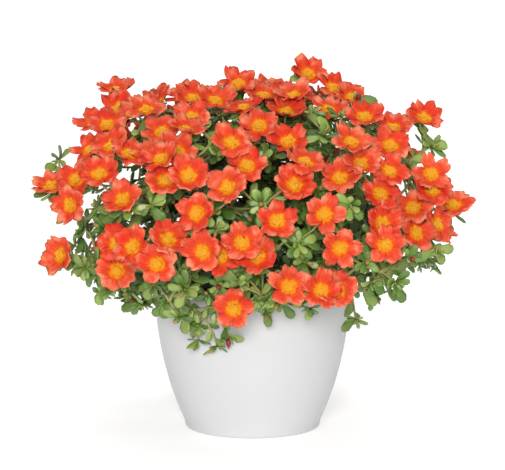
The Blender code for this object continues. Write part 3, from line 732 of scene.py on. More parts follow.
def place_blooms(thicket, draw):
    """Every bloom, bunch by bunch, and last those that reach no mate, each in the bunch that it crosses."""
    bunches = [seen_spots(pixels) for pixels in SEEN_BUNCHES]
    bunches += [rear_spots(index, draw) for index in range(REAR_BUNCHES)]
    blooms, loners = [], []
    for index, spots in enumerate(bunches):
        node, seen, mates = bunch_name(index), index < len(SEEN_BUNCHES), []
        for spot, slide in spots:
            bloom = place_bloom(node, spot, slide, seen, mates, thicket, draw)
            if bloom:
                blooms.append(bloom)
                mates.append(bloom["place"])
            else:
                loners.append((None, spot, slide, seen, []))
    blooms += [bloom for bloom in (place_bloom(*loner, thicket, draw) for loner in loners) if bloom]
    return blooms


def seen_spots(pixels):
    """The places of one bunch's blooms on the dome, with the direction away from the camera.

    The dome's crown is seen edge-on, so the blooms of the upper rows are spread back over it."""
    spots = []
    for pixel in pixels:
        ray = view_ray(pixel)[1]
        back = CROWN_SPREAD * min(max((CROWN_ROW - pixel[1]) / CROWN_ROWS, 0.0), 1.0)
        spots.append((first_on_dome(pixel) + back * ray, ray))
    return spots


def rear_spots(index, draw):
    """Three places close together on the dome's far side and crown, with the way into it.

    The sine of their height grows evenly, and the turn about the dome is wider towards the crown."""
    share = (index + 0.5) / REAR_BUNCHES
    climb = math.asin(REAR_SINES[0] + (REAR_SINES[1] - REAR_SINES[0]) * share)
    half_turn = REAR_TURNS[0] + REAR_TURNS[1] * math.sin(climb) ** 4
    spread = 2 * ((index * GOLDEN_SHARE + REAR_START) % 1.0) - 1
    azimuth = math.radians(90) + half_turn * spread - REAR_ASIDE
    spots = []
    for aside, above in REAR_MATES:
        side = azimuth + aside / max(math.cos(climb), NARROWEST)
        up = climb + above
        direction = np.array((math.cos(side) * math.cos(up), math.sin(side) * math.cos(up), math.sin(up)))
        sunk = draw.uniform(0.0, REAR_SUNK) + CROWN_SUNK * math.sin(climb) ** 4
        spots.append((on_dome(direction) - sunk * direction, -direction))
    return spots


def bezier(start, leave, arrive, end, count):
    """Points of the cubic curve from start to end."""
    t = np.linspace(0, 1, count)[:, None]
    return (1 - t) ** 3 * start + 3 * (1 - t) ** 2 * t * leave + 3 * (1 - t) * t**2 * arrive + t**3 * end


def main_stems():
    """The main stems' paths by the golden angle: the inner ones upright, the outer arched over the rim."""
    soil = POT_HEIGHT - SOIL_BELOW_RIM + SOIL_CROWN
    stems = []
    for index in range(STEM_COUNT):
        share = (index + 0.5) / STEM_COUNT
        azimuth = index * GOLDEN_ANGLE + STEM_FIRST_TURN
        outward = np.array((math.cos(azimuth), math.sin(azimuth), 0.0))
        climb = STEM_CLIMBS[0] + (STEM_CLIMBS[1] - STEM_CLIMBS[0]) * share
        root = ROOT_SPREAD * math.sqrt(share) * outward
        direction = outward * math.cos(climb) + np.array((0, 0, math.sin(climb)))
        end = (0, 0, soil) + STEM_REACH * np.linalg.norm(on_dome(direction) - (0, 0, soil)) * direction
        foot = root + (0, 0, soil - ROOT_DEPTH)
        top = root + (0, 0, soil)
        arrive = end - ARCH_BACK * direction + (0, 0, ARCH_OVER)
        arch = bezier(top, top + (0, 0, ARCH_UP), arrive, end, ARCH_POINTS)
        stems.append(np.concatenate((foot[None], arch)))
    return stems


class Branching:
    """The places on each stem and shoot where a further shoot may start, and how many have."""

    def __init__(self):
        self.joints, self.loads = [], {}

    def add(self, node, item, path, first):
        """Puts two joints on each stretch of the path from the first point that is given."""
        for index in range(first, len(path) - 1):
            for share in JOINT_SHARES:
                point = (1 - share) * path[index] + share * path[index + 1]
                self.joints.append([node, item, point, unit(path[index + 1] - path[index]), 0])

    def nearest(self, tip, facing):
        """The joints in order of the way to a tip. Those used before, or not behind it, count as further."""
        points = np.array([joint[2] for joint in self.joints])
        used = np.array([joint[4] for joint in self.joints])
        load = np.array([self.loads.get(joint[0], 0) for joint in self.joints])
        ways = tip - points
        span = np.linalg.norm(ways, axis=1)
        behind = np.clip(-(ways @ facing) / np.maximum(span, 0.001), 0, 1)
        cost = np.abs(span - SHOOT_SPAN) + USED_COST * used + BEHIND_COST * behind + LOAD_COST * load
        cost[span < SHORTEST_SHOOT] = 1.0
        return [self.joints[i] for i in np.argsort(cost, kind="stable")]


def grow_shoot(tip, facing, branching, thicket, draw):
    """The clear way to a tip that crosses least of its own node, as the joint and the path, or None.

    Each bend is how far the path comes from behind the tip, and how far from above, as shares of its span."""
    best, fewest = None, math.inf
    for joint in branching.nearest(tip, facing)[:JOINT_TRIES]:
        node, item, start, along, _ = joint
        span = np.linalg.norm(tip - start)
        for back, above in BENDS:
            aside = draw.normal(0.0, SHOOT_STRAY, 3) * span
            arrive = tip - back * span * facing + (0, 0, above * span) + aside
            leave = start + SHOOT_ALONG * span * along
            path = bezier(start, leave, arrive, tip, 3 if span < LONG_SHOOT else 4)
            if (tip - path[-2]) @ facing < FROM_BEHIND * np.linalg.norm(tip - path[-2]):
                continue
            met = thicket.met(*tube_solid(path, SHOOT_RADIUS + SHOOT_CLEARANCE))
            if thicket.strangers(met, node):
                continue
            own = sum(count for other, count in met.items() if other != item)
            if own < fewest:
                best, fewest = (joint, path), own
            if own == 0:
                return best
    return best


def grow_sprig(tip, facing, arms, branching, thicket, draw):
    """A shoot with its whorl, at the turn and size that cross no other node and least of its own.

    It is a bare shoot where no whorl fits, and None where that doesn't either."""
    found = grow_shoot(tip, facing, branching, thicket, draw)
    if found is None:
        return None
    joint, path = found
    node, parent = joint[0], joint[1]
    best, fewest = None, OWN_PAIRS
    for attempt in range(SPRIG_TRIES):
        roll, lift = draw.uniform(0, math.tau), draw.uniform(*SPRIG_LIFT)
        size = draw.uniform(*SPRIG_SIZE) * (1 - SPRIG_SHRINK * attempt / SPRIG_TRIES)
        solid = sprig_solid(path, facing, roll, arms, size, lift)
        met = thicket.met(*solid)
        own = sum(count for other, count in met.items() if other != parent)
        if own < fewest and not thicket.strangers(met, node) and not folded(*solid):
            best, fewest = (roll, lift, size, arms, solid), own
        if fewest == 0:
            break
    if best is None:
        solid = sprig_solid(path, facing, 0.0, 0, 1.0, 0.0)
        if thicket.strangers(thicket.met(*solid), node) or folded(*solid):
            return None
        best = (0.0, 0.0, 1.0, 0, solid)
    roll, lift, size, arms, solid = best
    joint[4] += 1
    branching.loads[node] = branching.loads.get(node, 0) + 1
    branching.add(node, thicket.add(node, *solid), path, 1)
    return {"node": node, "path": path, "facing": facing, "roll": roll, "lift": lift, "size": size,
            "arms": arms}


def gap_spots(taken):
    """The widest gaps a little under the dome's skin: the farthest from all places taken, one by one."""
    sines = np.linspace(*GAP_SINES, GAP_TRIALS)
    turns = np.arange(GAP_TRIALS) * GOLDEN_ANGLE
    ways = round_points(np.sqrt(1 - sines**2), turns, sines)
    spots = DOME_CENTRE + GAP_LEVEL * (np.array([on_dome(way) for way in ways]) - DOME_CENTRE)
    room = np.linalg.norm(spots[:, None] - np.array(taken), axis=2).min(axis=1)
    found = []
    for _ in range(GAP_TIPS):
        widest = room.argmax()
        found.append(spots[widest])
        room = np.minimum(room, np.linalg.norm(spots - spots[widest], axis=1))
    return found


def shoot_ends(blooms):
    """Where shoots end, as tips, facings and arms: a whorl under each bunch, and rosettes on their own."""
    reach = BLOOM_DEPTH * BLOOM_RADIUS + FIT_GAP + LEAF_THICKNESS / 2
    ends, carried = [], set()
    for bloom in blooms:
        if bloom["node"] not in carried:
            carried.add(bloom["node"])
            ends.append((bloom["place"] - reach * bloom["facing"], bloom["facing"], WHORL_ARMS))
    for pixel in SEEN_TIPS:
        point = first_on_dome(pixel) + TIP_DEPTH * view_ray(pixel)[1]
        ends.append((point, unit(dome_normal(point) + TIP_TOWARD), ROSETTE_ARMS))
    taken = [bloom["place"] for bloom in blooms] + [end[0] for end in ends]
    ends += [(point, unit(dome_normal(point) + GAP_LOOK), ROSETTE_ARMS) for point in gap_spots(taken)]
    return sorted(ends, key=lambda end: np.linalg.norm(end[0] - DOME_CENTRE))


def grow_plant():
    """Every bloom, stem and shoot of the model's plant, placed as there so that no two nodes cross."""
    draw = np.random.default_rng(SEED)
    thicket, branching = Thicket(), Branching()
    thicket.add("pot", *pot_wall_solid())
    blooms, stems, sprigs = place_blooms(thicket, draw), {}, []
    for index, path in enumerate(main_stems()):
        name = f"leafy_stem_{index + 1:02d}"
        stems[name] = path
        branching.add(name, thicket.add(name, *tube_solid(path, STEM_RADIUS)), path, 2)
    for tip, facing, arms in shoot_ends(blooms):
        sprig = grow_sprig(tip, facing, arms, branching, thicket, draw)
        if sprig:
            sprigs.append(sprig)
    return blooms, stems, sprigs


def put_mesh(name, points, face_sets, material, nodes=(), grain=None, flat=None):
    """A mesh piece from whole arrays: points, faces in sets of equal length, and a grain vector per point.

    The faces are shaded smooth, apart from those that flat marks."""
    mesh = bpy.data.meshes.new(name)
    mesh.vertices.add(len(points))
    mesh.vertices.foreach_set("co", np.ascontiguousarray(points, np.float32).ravel())
    sizes = np.concatenate([np.full(len(faces), faces.shape[1]) for faces in face_sets])
    corners = np.concatenate([faces.ravel() for faces in face_sets])
    mesh.loops.add(len(corners))
    mesh.loops.foreach_set("vertex_index", corners.astype(np.int32))
    mesh.polygons.add(len(sizes))
    mesh.polygons.foreach_set("loop_start", (np.cumsum(sizes) - sizes).astype(np.int32))
    mesh.update(calc_edges=True)
    mesh.polygons.foreach_set("use_smooth", np.full(len(sizes), True) if flat is None else ~flat)
    if grain is not None:
        layer = mesh.attributes.new("grain", "FLOAT_VECTOR", "POINT")
        layer.data.foreach_set("vector", np.ascontiguousarray(grain, np.float32).ravel())
    mesh.materials.append(material)
    piece = bpy.data.objects.new(name, mesh)
    bpy.context.scene.collection.objects.link(piece)
    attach(piece, "root")
    if nodes:
        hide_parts(*nodes)


def tile(faces, count, size):
    """The faces of one item repeated for count items, each of size points."""
    return (faces[None] + size * np.arange(count)[:, None, None]).reshape(-1, faces.shape[1])


def skin_faces(rings, around, count=1, backward=False):
    """Quads and triangles of closed skins, each a pole, rings of points and another pole.

    Backward turns them round, for rings that run the other way along their axis."""
    ring = np.arange(around)
    after = (ring + 1) % around
    steps = 1 + around * np.arange(rings - 1)[:, None]
    quads = np.stack((steps + ring, steps + after, steps + around + after, steps + around + ring), axis=-1)
    last = 1 + around * (rings - 1)
    pole = last + around
    ends = np.concatenate((np.stack((np.zeros(around, int), after + 1, ring + 1), axis=1),
                           np.stack((np.full(around, pole), last + ring, last + after), axis=1)))
    way = -1 if backward else 1
    return [tile(faces[:, ::way], count, pole + 1) for faces in (quads.reshape(-1, 4), ends)]


def sheet_faces(rows, columns):
    """Faces of a thin closed blade: a top grid, the same grid below it, and a strip round their edge."""
    corner = np.arange(rows * columns).reshape(rows, columns)
    top = np.stack((corner[:-1, :-1], corner[1:, :-1], corner[1:, 1:], corner[:-1, 1:]), axis=-1)
    top = top.reshape(-1, 4)
    below = top[:, ::-1] + rows * columns
    loop = np.concatenate((corner[0, :-1], corner[:-1, -1], corner[-1, :0:-1], corner[:0:-1, 0]))
    after = np.roll(loop, -1)
    strip = np.stack((loop, after, after + rows * columns, loop + rows * columns), axis=1)
    return np.concatenate((top, below, strip))


def with_ends(first, middle, last):
    """An array with one entry put before it and one after."""
    return np.concatenate(([first], middle, [last]))


def unit_rows(vectors):
    """Each row at length one."""
    return vectors / np.linalg.norm(vectors, axis=-1, keepdims=True)


def frames_along(axes, rolls):
    """A turning matrix for each axis, as frame_along gives for one."""
    return np.stack([frame_along(axis, roll) for axis, roll in zip(axes, rolls)])


def turned(points, frames):
    """Points turned by each frame: one set for all the frames, or a set for each."""
    return points @ frames.transpose(0, 2, 1)


def seated(blooms, points):
    """Points in shares of a bloom's radius, turned as each bloom faces and moved to its place."""
    frames = frames_along([bloom["facing"] for bloom in blooms], [bloom["roll"] for bloom in blooms])
    return turned(points * BLOOM_RADIUS, frames) + np.array([bloom["place"] for bloom in blooms])[:, None]


def smooth_path(path, count):
    """The polyline's points joined by a Catmull-Rom curve, at count even steps of its parameter."""
    ends = np.concatenate((2 * path[:1] - path[1:2], path, 2 * path[-1:] - path[-2:-1]))
    place = np.linspace(0, len(path) - 1, count)
    step = np.minimum(place.astype(int), len(path) - 2)
    t = (place - step)[:, None]
    a, b, c, d = (ends[step + i] for i in range(4))
    return 0.5 * (2 * b + (c - a) * t + (2 * a - 5 * b + 4 * c - d) * t**2 + (3 * b - a - 3 * c + d) * t**3)


def petal_points(blooms):
    """Every petal as a thin blade on a grid of across (u, -1 to 1) and along (v, 0 to 1).

    The half width is a curve in v with the factors of PETAL_BREADTH. The reach is v times the petal's end,
    which is notched in the middle, frilled at random and rounded at the shoulders. The height is the bloom's
    rise times the radius to the power 1.5, with the model's lobes, ripples both ways, a crinkled rim, and the
    left side of each petal under its neighbour."""
    columns = len(PETAL_END)
    u = np.linspace(-1, 1, columns)[None, None, :]
    v = np.array(PETAL_ROWS)[None, :, None]
    count = len(blooms) * PETALS
    draw = np.random.default_rng(SEED + 1)
    rims = [np.random.default_rng(bloom["state"]) for bloom in blooms]
    radii = np.array([rim.uniform(*REACH_DRAW, PETALS * PETAL_POINTS) for rim in rims])
    lifts = np.array([rim.uniform(-HEIGHT_DRAW, HEIGHT_DRAW, PETALS * PETAL_POINTS) for rim in rims])
    radii, lifts = (drawn.reshape(count, PETAL_POINTS, 1, 1) for drawn in (radii, lifts))
    right = 0.5 + 0.5 * u
    lobe = radii[:, 1] * (1 - right) + radii[:, 3] * right
    lift = lifts[:, 1] * (1 - right) + lifts[:, 3] * right
    lift = lift + (lifts[:, 2] - lifts[:, 1]) * np.exp(-((u / NOTCH_WIDTH) ** 2))
    frill = draw.normal(0, PETAL_FRILL, (count, 1, columns))
    along = v * (np.array(PETAL_END) + frill * v**2) * lobe
    full = np.repeat(draw.uniform(*PETAL_FULLNESS, len(blooms)), PETALS)[:, None, None]
    breadth = sum(factor * v**power for power, factor in enumerate(PETAL_BREADTH))
    across = u * full * draw.uniform(*BREADTH_DRAW, (count, 1, 1)) * breadth
    radius = np.hypot(along, across)
    rise = np.repeat([bloom["rise"] for bloom in blooms], PETALS)[:, None, None]
    phase = draw.uniform(0, math.tau, (3, count, 1, 1))
    height = PETAL_FOOT + rise * radius**1.5 + lift * v**2 + PETAL_LAP * u * v
    height = height + RIPPLE_ACROSS[0] * np.sin(RIPPLE_ACROSS[1] * u + phase[0]) * v**2
    height = height + RIPPLE_ALONG[0] * np.sin(RIPPLE_ALONG[1] * v + phase[1]) * np.abs(u)
    height = height + PLEAT[0] * np.cos(PLEAT[1] * u + phase[1]) * v
    height = height + draw.normal(0, RIM_CRINKLE, (count, 1, columns)) * v**2
    height = height - PETAL_HOLLOW * np.sin(math.pi * v) * (1 - np.abs(u))
    height = height + PETAL_NOD * v**4 * np.sin(phase[2])
    turn = np.tile(full_turn(PETALS), len(blooms))[:, None, None]
    cos, sin = np.cos(turn), np.sin(turn)
    top = np.stack((along * cos - across * sin, along * sin + across * cos, height), axis=-1)
    under = top - (0, 0, PETAL_THICKNESS / BLOOM_RADIUS)
    blades = np.stack((top, under), axis=1).reshape(len(blooms), -1, 3)
    tone = np.repeat(draw.uniform(0, BLOOM_TONE, len(blooms)), PETALS)[:, None, None]
    tone = tone + draw.uniform(0, PETAL_TONE, (count, 1, 1))
    grain = np.stack(np.broadcast_arrays(u, v, tone), axis=-1)[:, None]
    grain = np.broadcast_to(grain, (count, 2, *grain.shape[2:])).reshape(len(blooms), -1, 3)
    return seated(blooms, blades), grain


def build_petals(blooms, material):
    """The petals, in a few pieces that each stand for some of the bunches. Their rims are shaded flat."""
    points, grain = petal_points(blooms)
    rows, columns = len(PETAL_ROWS), len(PETAL_END)
    blade = sheet_faces(rows, columns)
    rim = np.arange(len(blade)) >= 2 * (rows - 1) * (columns - 1)
    names = sorted({bloom["node"] for bloom in blooms})
    for index, nodes in enumerate(np.array_split(names, PETAL_PIECES)):
        chosen = np.array([bloom["node"] in nodes for bloom in blooms])
        petals = chosen.sum() * PETALS
        faces = tile(blade, petals, 2 * rows * columns)
        put_mesh(f"petals_{index + 1}", points[chosen].reshape(-1, 3), [faces], material,
                 [str(node) for node in nodes], grain[chosen].reshape(-1, 3), np.tile(rim, petals))


def stamen_lines(blooms, draw):
    """Where each stamen starts and ends, bloom by bloom and by the golden angle.

    It leans by its share of the spread, squared root over the brush, and the outer ones are shorter."""
    share = np.sqrt((np.arange(STAMENS) + 0.5) / STAMENS)
    angle = np.arange(STAMENS) * GOLDEN_ANGLE + draw.uniform(0, math.tau, (len(blooms), 1))
    spread = STAMEN_SPREAD * share + draw.uniform(-SPREAD_STRAY, SPREAD_STRAY, angle.shape)
    height = STAMEN_HEIGHT * (1 - STAMEN_DROP * share**2)
    height = height + draw.uniform(-HEIGHT_STRAY, HEIGHT_STRAY, angle.shape)
    ends = (round_points(STAMEN_FOOT * spread, angle, 0.0), round_points(spread, angle, height))
    return [seated(blooms, points).reshape(-1, 3) for points in ends]


def cushion_shape():
    """A cushion's points: its height falls with the square of the distance from its middle."""
    rings = np.array(CUSHION_RINGS)[:, None]
    dome = round_points(rings, full_turn(CUSHION_SIDES), 1 - rings**2).reshape(-1, 3)
    dome = with_ends((0, 0, 1.0), dome, (0, 0, -CUSHION_UNDER))
    return dome * (CUSHION_RADIUS, CUSHION_RADIUS, CUSHION_HEIGHT)


def build_stamens(blooms, material):
    """A brush of stamens in each bloom: thin filaments that lean out of a low cushion, and an anther on each.

    A filament is a prism of three sides and an anther has eight faces. Their grain tells the three apart."""
    draw = np.random.default_rng(SEED + 2)
    foot, head = stamen_lines(blooms, draw)
    count = len(foot)
    lean = frames_along(head - foot, np.zeros(count))
    ring = turned(round_points(FILAMENT_RADIUS, full_turn(3), 0.0), lean)
    filaments = np.stack((ring + foot[:, None], ring + head[:, None]), axis=1)
    sides = np.array([(0, 1, 4, 3), (1, 2, 5, 4), (2, 0, 3, 5)])
    caps = np.array([(2, 1, 0), (3, 4, 5)])
    turns = frames_along(unit_rows(draw.normal(size=(count, 3))), draw.uniform(0, math.tau, count))
    tips = with_ends((0, 0, -1), round_points(1.0, full_turn(4), 0.0), (0, 0, 1))
    anthers = turned(tips * (ANTHER_WIDTH, ANTHER_WIDTH, ANTHER_LENGTH / 2), turns) + head[:, None]
    cushions = seated(blooms, cushion_shape())
    shapes = [shape.reshape(-1, 3) for shape in (filaments, anthers, cushions)]
    rest = len(shapes[2])
    quads, ends = skin_faces(len(CUSHION_RINGS), CUSHION_SIDES, len(blooms), backward=True)
    eighths = skin_faces(1, 4, count)[1]
    quads = np.concatenate((tile(sides, count, 6), quads + 12 * count))
    triangles = np.concatenate((tile(caps, count, 6), eighths + 6 * count, ends + 12 * count))
    part = np.concatenate((np.tile((0, 0, 0, 1, 1, 1), count), np.full(6 * count, 2), np.full(rest, 1)))
    tone = np.concatenate((np.tile(np.repeat(draw.uniform(size=count), 6), 2), np.full(rest, 0.5)))
    put_mesh("golden_stamens", np.concatenate(shapes), [quads, triangles], material, (),
             np.stack((part, 0 * part, tone), axis=1))


class Foliage:
    """Fine leaves as rows of numbers, gathered first and made into meshes in one go."""

    def __init__(self):
        self.rows, self.nodes = [], []

    def add(self, node, foot, way, up, length, width, curl):
        """One leaf: its foot, the way it points, the side it turns up, its length, its width and its curl."""
        self.rows.append((*foot, *way, *up, length, width, curl))
        self.nodes.append(node)


def leaf_points(rows, draw):
    """Every leaf as a closed fleshy blade of rings of points, widest in its outer half and blunt at the tip.

    A ring's centre lies at s along the leaf and curl times s squared above it. Its half width follows the
    outline, and its thickness grows with the root of that width and is less above than below."""
    foot, way, up = rows[:, 0:3], unit_rows(rows[:, 3:6]), rows[:, 6:9]
    length, width, curl = (rows[:, i, None] for i in (9, 10, 11))
    side = unit_rows(np.cross(up, way))
    up = np.cross(way, side)
    s = with_ends(LEAF_HEEL, np.repeat(LEAF_STATIONS, LEAF_SIDES), 1.0)
    turns = with_ends(0.0, np.tile(full_turn(LEAF_SIDES), len(LEAF_STATIONS)), 0.0)
    half = with_ends(0.0, np.repeat(LEAF_OUTLINE, LEAF_SIDES), 0.0) * width / 2
    across = half * np.cos(turns)
    depth = LEAF_DEPTH * np.sqrt(half * width / 2) * np.sin(turns)
    above = np.where(depth > 0, LEAF_FACE, 1.0) * depth + LEAF_DISH * across**2 / (width / 2)
    above = above + curl * length * s**2
    points = (foot[:, None] + (s * length)[..., None] * way[:, None] + above[..., None] * up[:, None]
              + across[..., None] * side[:, None])
    edge = np.abs(across) / (width / 2)
    edge[:, -1] = 1.0
    # Painted shade and light: the tone is lower, and so the green darker, the deeper in the head a leaf's tip
    # stands, with a random share added
    gain, start = DEPTH_SHADE
    outer = np.clip(gain * dome_level(foot + way * length) ** (1 / DOME_POWER) - start, 0, start)
    tone = outer[:, None] + draw.uniform(*LEAF_TONE, (len(rows), 1))
    return points, np.stack(np.broadcast_arrays(edge, np.maximum(s, 0), tone), axis=-1)


def build_foliage(foliage, material):
    """The fine leaves, in one piece for each modelled leafy stem."""
    points, grain = leaf_points(foliage.rows, np.random.default_rng(SEED + 3))
    nodes = np.array(foliage.nodes)
    for name in sorted(set(nodes)):
        chosen = nodes == name
        faces = skin_faces(len(LEAF_STATIONS), LEAF_SIDES, chosen.sum())
        put_mesh(name.replace("leafy_stem", "leaves"), points[chosen].reshape(-1, 3), faces, material,
                 (name,), grain[chosen].reshape(-1, 3))


def tube_points(path, radii, sides):
    """A round tube's rings along a path, with a pole at each end."""
    along = unit_rows(np.gradient(path, axis=0))
    side = unit_rows(np.cross(along, along[::-1] + TUBE_ASIDE))
    other = np.cross(along, side)
    turns = full_turn(sides)[:, None]
    ring = np.cos(turns) * side[:, None] + np.sin(turns) * other[:, None]
    return with_ends(path[0], (path[:, None] + radii[:, None, None] * ring).reshape(-1, 3), path[-1])


def build_tubes(name, tubes, rings, sides, material):
    """Many tubes of the same number of rings and sides in one piece, each from its path and its two radii."""
    points = [tube_points(smooth_path(path, rings), np.linspace(*thick, rings), sides)
              for path, thick in tubes]
    reach = with_ends(0.0, np.repeat(np.linspace(0, 1, rings), sides), 1.0)
    tone = np.repeat(np.random.default_rng(SEED + 4).uniform(size=len(tubes)), len(reach))
    grain = np.stack((0 * tone, np.tile(reach, len(tubes)), tone), axis=1)
    faces = skin_faces(rings, sides, len(tubes))
    put_mesh(name, np.concatenate(points), faces, material, (), grain)


def in_bloom(points, blooms):
    """Which points lie in a bloom's dish or stand before its face."""
    facings = np.array([bloom["facing"] for bloom in blooms])
    ways = points[:, None] - np.array([bloom["place"] for bloom in blooms])
    above = np.einsum("pbi,bi->pb", ways, facings)
    beside = np.linalg.norm(ways - above[..., None] * facings, axis=-1)
    dish = (DISH_RISE * (beside / BLOOM_RADIUS) ** 1.5 - DISH_DEPTH) * BLOOM_RADIUS
    return ((beside < BLOOM_RADIUS) & (above > dish) & (above < FACE_ROOM * BLOOM_RADIUS)).any(axis=1)


def in_pot(points):
    """Which points lie in the pot's wall, in the soil, or under the surface that the pot stands on."""
    across = np.hypot(points[:, 0], points[:, 1])
    outer = pot_radius(points[:, 2]) + WALL_ROOM
    inner = outer - WALL - 2 * WALL_ROOM
    wall = (across < outer) & (across > inner) & (points[:, 2] < POT_HEIGHT + RIM_ROOM)
    soil = (across < outer) & (points[:, 2] < POT_HEIGHT - SOIL_BELOW_RIM + SOIL_ROOM)
    return wall | soil


def fill_tips(count, level, draw):
    """Tips for extra shoots, evenly over the dome by the golden angle, at a share of the way out to its skin.

    Few of them stand in the head's airy upper sides."""
    tips = []
    for index in range(count):
        sine = FILL_LOWEST + FILL_RISE * (index + 0.5) / count
        turn = index * GOLDEN_ANGLE
        flat = math.sqrt(1 - sine * sine)
        direction = np.array((flat * math.cos(turn), flat * math.sin(turn), sine))
        tip = DOME_CENTRE + draw.uniform(*level) * (on_dome(direction) - DOME_CENTRE)
        airy = not AIRY_SIDES[0] < tip[0] < AIRY_SIDES[1] and tip[1] < AIRY_FRONT and tip[2] > AIRY_HEIGHT
        bottom = FRONT_BOTTOM if tip[0] > 0 else FILL_BOTTOM
        if tip[2] > bottom and draw.uniform() < (AIRY_SHARE if airy else 1.0):
            tips.append(tip)
    return tips


def shoot_starts(stems, sprigs):
    """Points along the stems and shoots where a further shoot may start, and the node of each."""
    starts, owners = [], []
    places = [(name, smooth_path(path[1:], STEM_STARTS)[2:]) for name, path in stems.items()]
    places += [(sprig["node"], smooth_path(sprig["path"], SPRIG_STARTS)[1:-1]) for sprig in sprigs]
    for node, points in places:
        starts.append(points)
        owners += [node] * len(points)
    return np.concatenate(starts), owners


def shoot_to(tip, facing, span_wanted, starts, blooms):
    """The number of a start behind the tip and the path from it that passes least before any bloom's face."""
    ways = tip - starts
    span = np.linalg.norm(ways, axis=1)
    cost = np.abs(span - span_wanted) + TURNED_COST * (ways @ facing < 0)
    best, fewest = None, math.inf
    for chosen in np.argsort(cost)[:START_TRIES]:
        start, reach = starts[chosen], span[chosen]
        arrive = tip - SHOOT_BEHIND * reach * facing - (0, 0, SHOOT_SAG * reach)
        path = bezier(start, start + SHOOT_LEAVE * reach * unit(arrive - start), arrive, tip, SHOOT_POINTS)
        crossed = in_bloom(path[1:-1], blooms).sum()
        if crossed < fewest:
            best, fewest = (chosen, path), crossed
        if not crossed:
            break
    return best


def before_pot(pixel):
    """The point where a pixel's ray comes near the pot's wall."""
    points = ray_points(pixel)
    across = np.hypot(points[:, 0], points[:, 1])
    return points[np.argmax(across < pot_radius(points[:, 2]) + TRAIL_GAP)]


def grow_fill(starts, owners, blooms, draw):
    """Extra shoots as (node, path) pairs, their tips moved in where they would stand in a bloom.

    A few more trail down before the pot."""
    tips = np.array(fill_tips(INNER_SHOOTS, INNER_LEVEL, draw) + fill_tips(FILL_SHOOTS, FILL_LEVEL, draw))
    wanted = []
    for tip, crowded in zip(tips, in_bloom(tips, blooms)):
        outward = unit(tip - DOME_CENTRE)
        wanted.append((tip - CROWDED_SUNK * crowded * outward, outward, FILL_SPAN))
    wanted += [(before_pot(pixel), unit(TRAIL_WAY), TRAIL_SPAN) for pixel in TRAILING_TIPS]
    found = [shoot_to(*ends, starts, blooms) for ends in wanted]
    return [(owners[chosen], path) for chosen, path in found]


def grow_stalks(starts, sprigs, blooms):
    """A thin stalk under each bloom that no modelled shoot ends at, from a stem or shoot behind it."""
    tips = np.array([sprig["path"][-1] for sprig in sprigs])
    stalks = []
    for bloom in blooms:
        foot = bloom["place"] - STALK_TOP * BLOOM_RADIUS * bloom["facing"]
        if np.linalg.norm(tips - foot, axis=1).min() > STALK_NEAR:
            stalks.append(shoot_to(foot, bloom["facing"], STALK_SPAN, starts, blooms)[1])
    return stalks


def dress_shoot(foliage, node, path, pitch, draw):
    """Leaves along a shoot, one every pitch from its tip back, each turned by the golden angle from the last.

    A leaf leans forwards along the shoot, is laid flatter against the dome by LEAF_SPREAD, and turns its face
    outwards and to the light."""
    fine = smooth_path(path, FINE_POINTS)
    gone = np.concatenate(((0.0,), np.cumsum(np.linalg.norm(np.diff(fine, axis=0), axis=1))))
    turn = draw.uniform(0, math.tau)
    reach = gone[-1] - FIRST_PITCH * pitch
    smallest, growth = LEAF_SIZE
    while reach > LEAF_FREE * gone[-1]:
        point = np.array([np.interp(reach, gone, fine[:, axis]) for axis in range(3)])
        index = min(np.searchsorted(gone, reach), len(fine) - 1)
        along = unit(fine[index] - fine[index - 1])
        lean = draw.uniform(*LEAF_LEAN)
        outward = unit(unit(point - DOME_CENTRE) + LEAF_LIGHT)
        way = lean * along + math.sqrt(1 - lean * lean) * frame_along(along, turn)[:, 0]
        way = unit(way - LEAF_SPREAD * way.dot(outward) * outward)
        size = smallest + growth * draw.uniform() ** 1.5
        foliage.add(node, point, way, outward + draw.normal(0, LEAF_STRAY, 3), LEAF_LENGTH * size,
                    LEAF_WIDTH * size * draw.uniform(*FULLNESS_DRAW), draw.uniform(*LEAF_CURL))
        turn += GOLDEN_ANGLE
        reach -= pitch * draw.uniform(*PITCH_DRAW)


def dress_whorl(foliage, node, tip, facing, counts, roll, lift, size, draw):
    """A whorl of leaves round a tip, and for a rosette an upright inner ring of smaller ones."""
    for inner, number in enumerate(counts):
        for index in range(number):
            turn = roll + math.tau * (index + 0.5 * inner) / number + draw.normal(0, WHORL_STRAY)
            out = frame_along(facing, turn)[:, 0]
            slope = draw.uniform(*INNER_SLOPE) if inner else lift + draw.uniform(*OUTER_SLOPE)
            length = LEAF_LENGTH * size * draw.uniform(*WHORL_LENGTH) * (INNER_SIZE if inner else 1.0)
            width = LEAF_FULLNESS * length * draw.uniform(*FULLNESS_DRAW)
            foliage.add(node, tip - WHORL_SUNK * facing + WHORL_OUT * out, unit(out + slope * facing), facing,
                        length, width, draw.uniform(*WHORL_CURL))


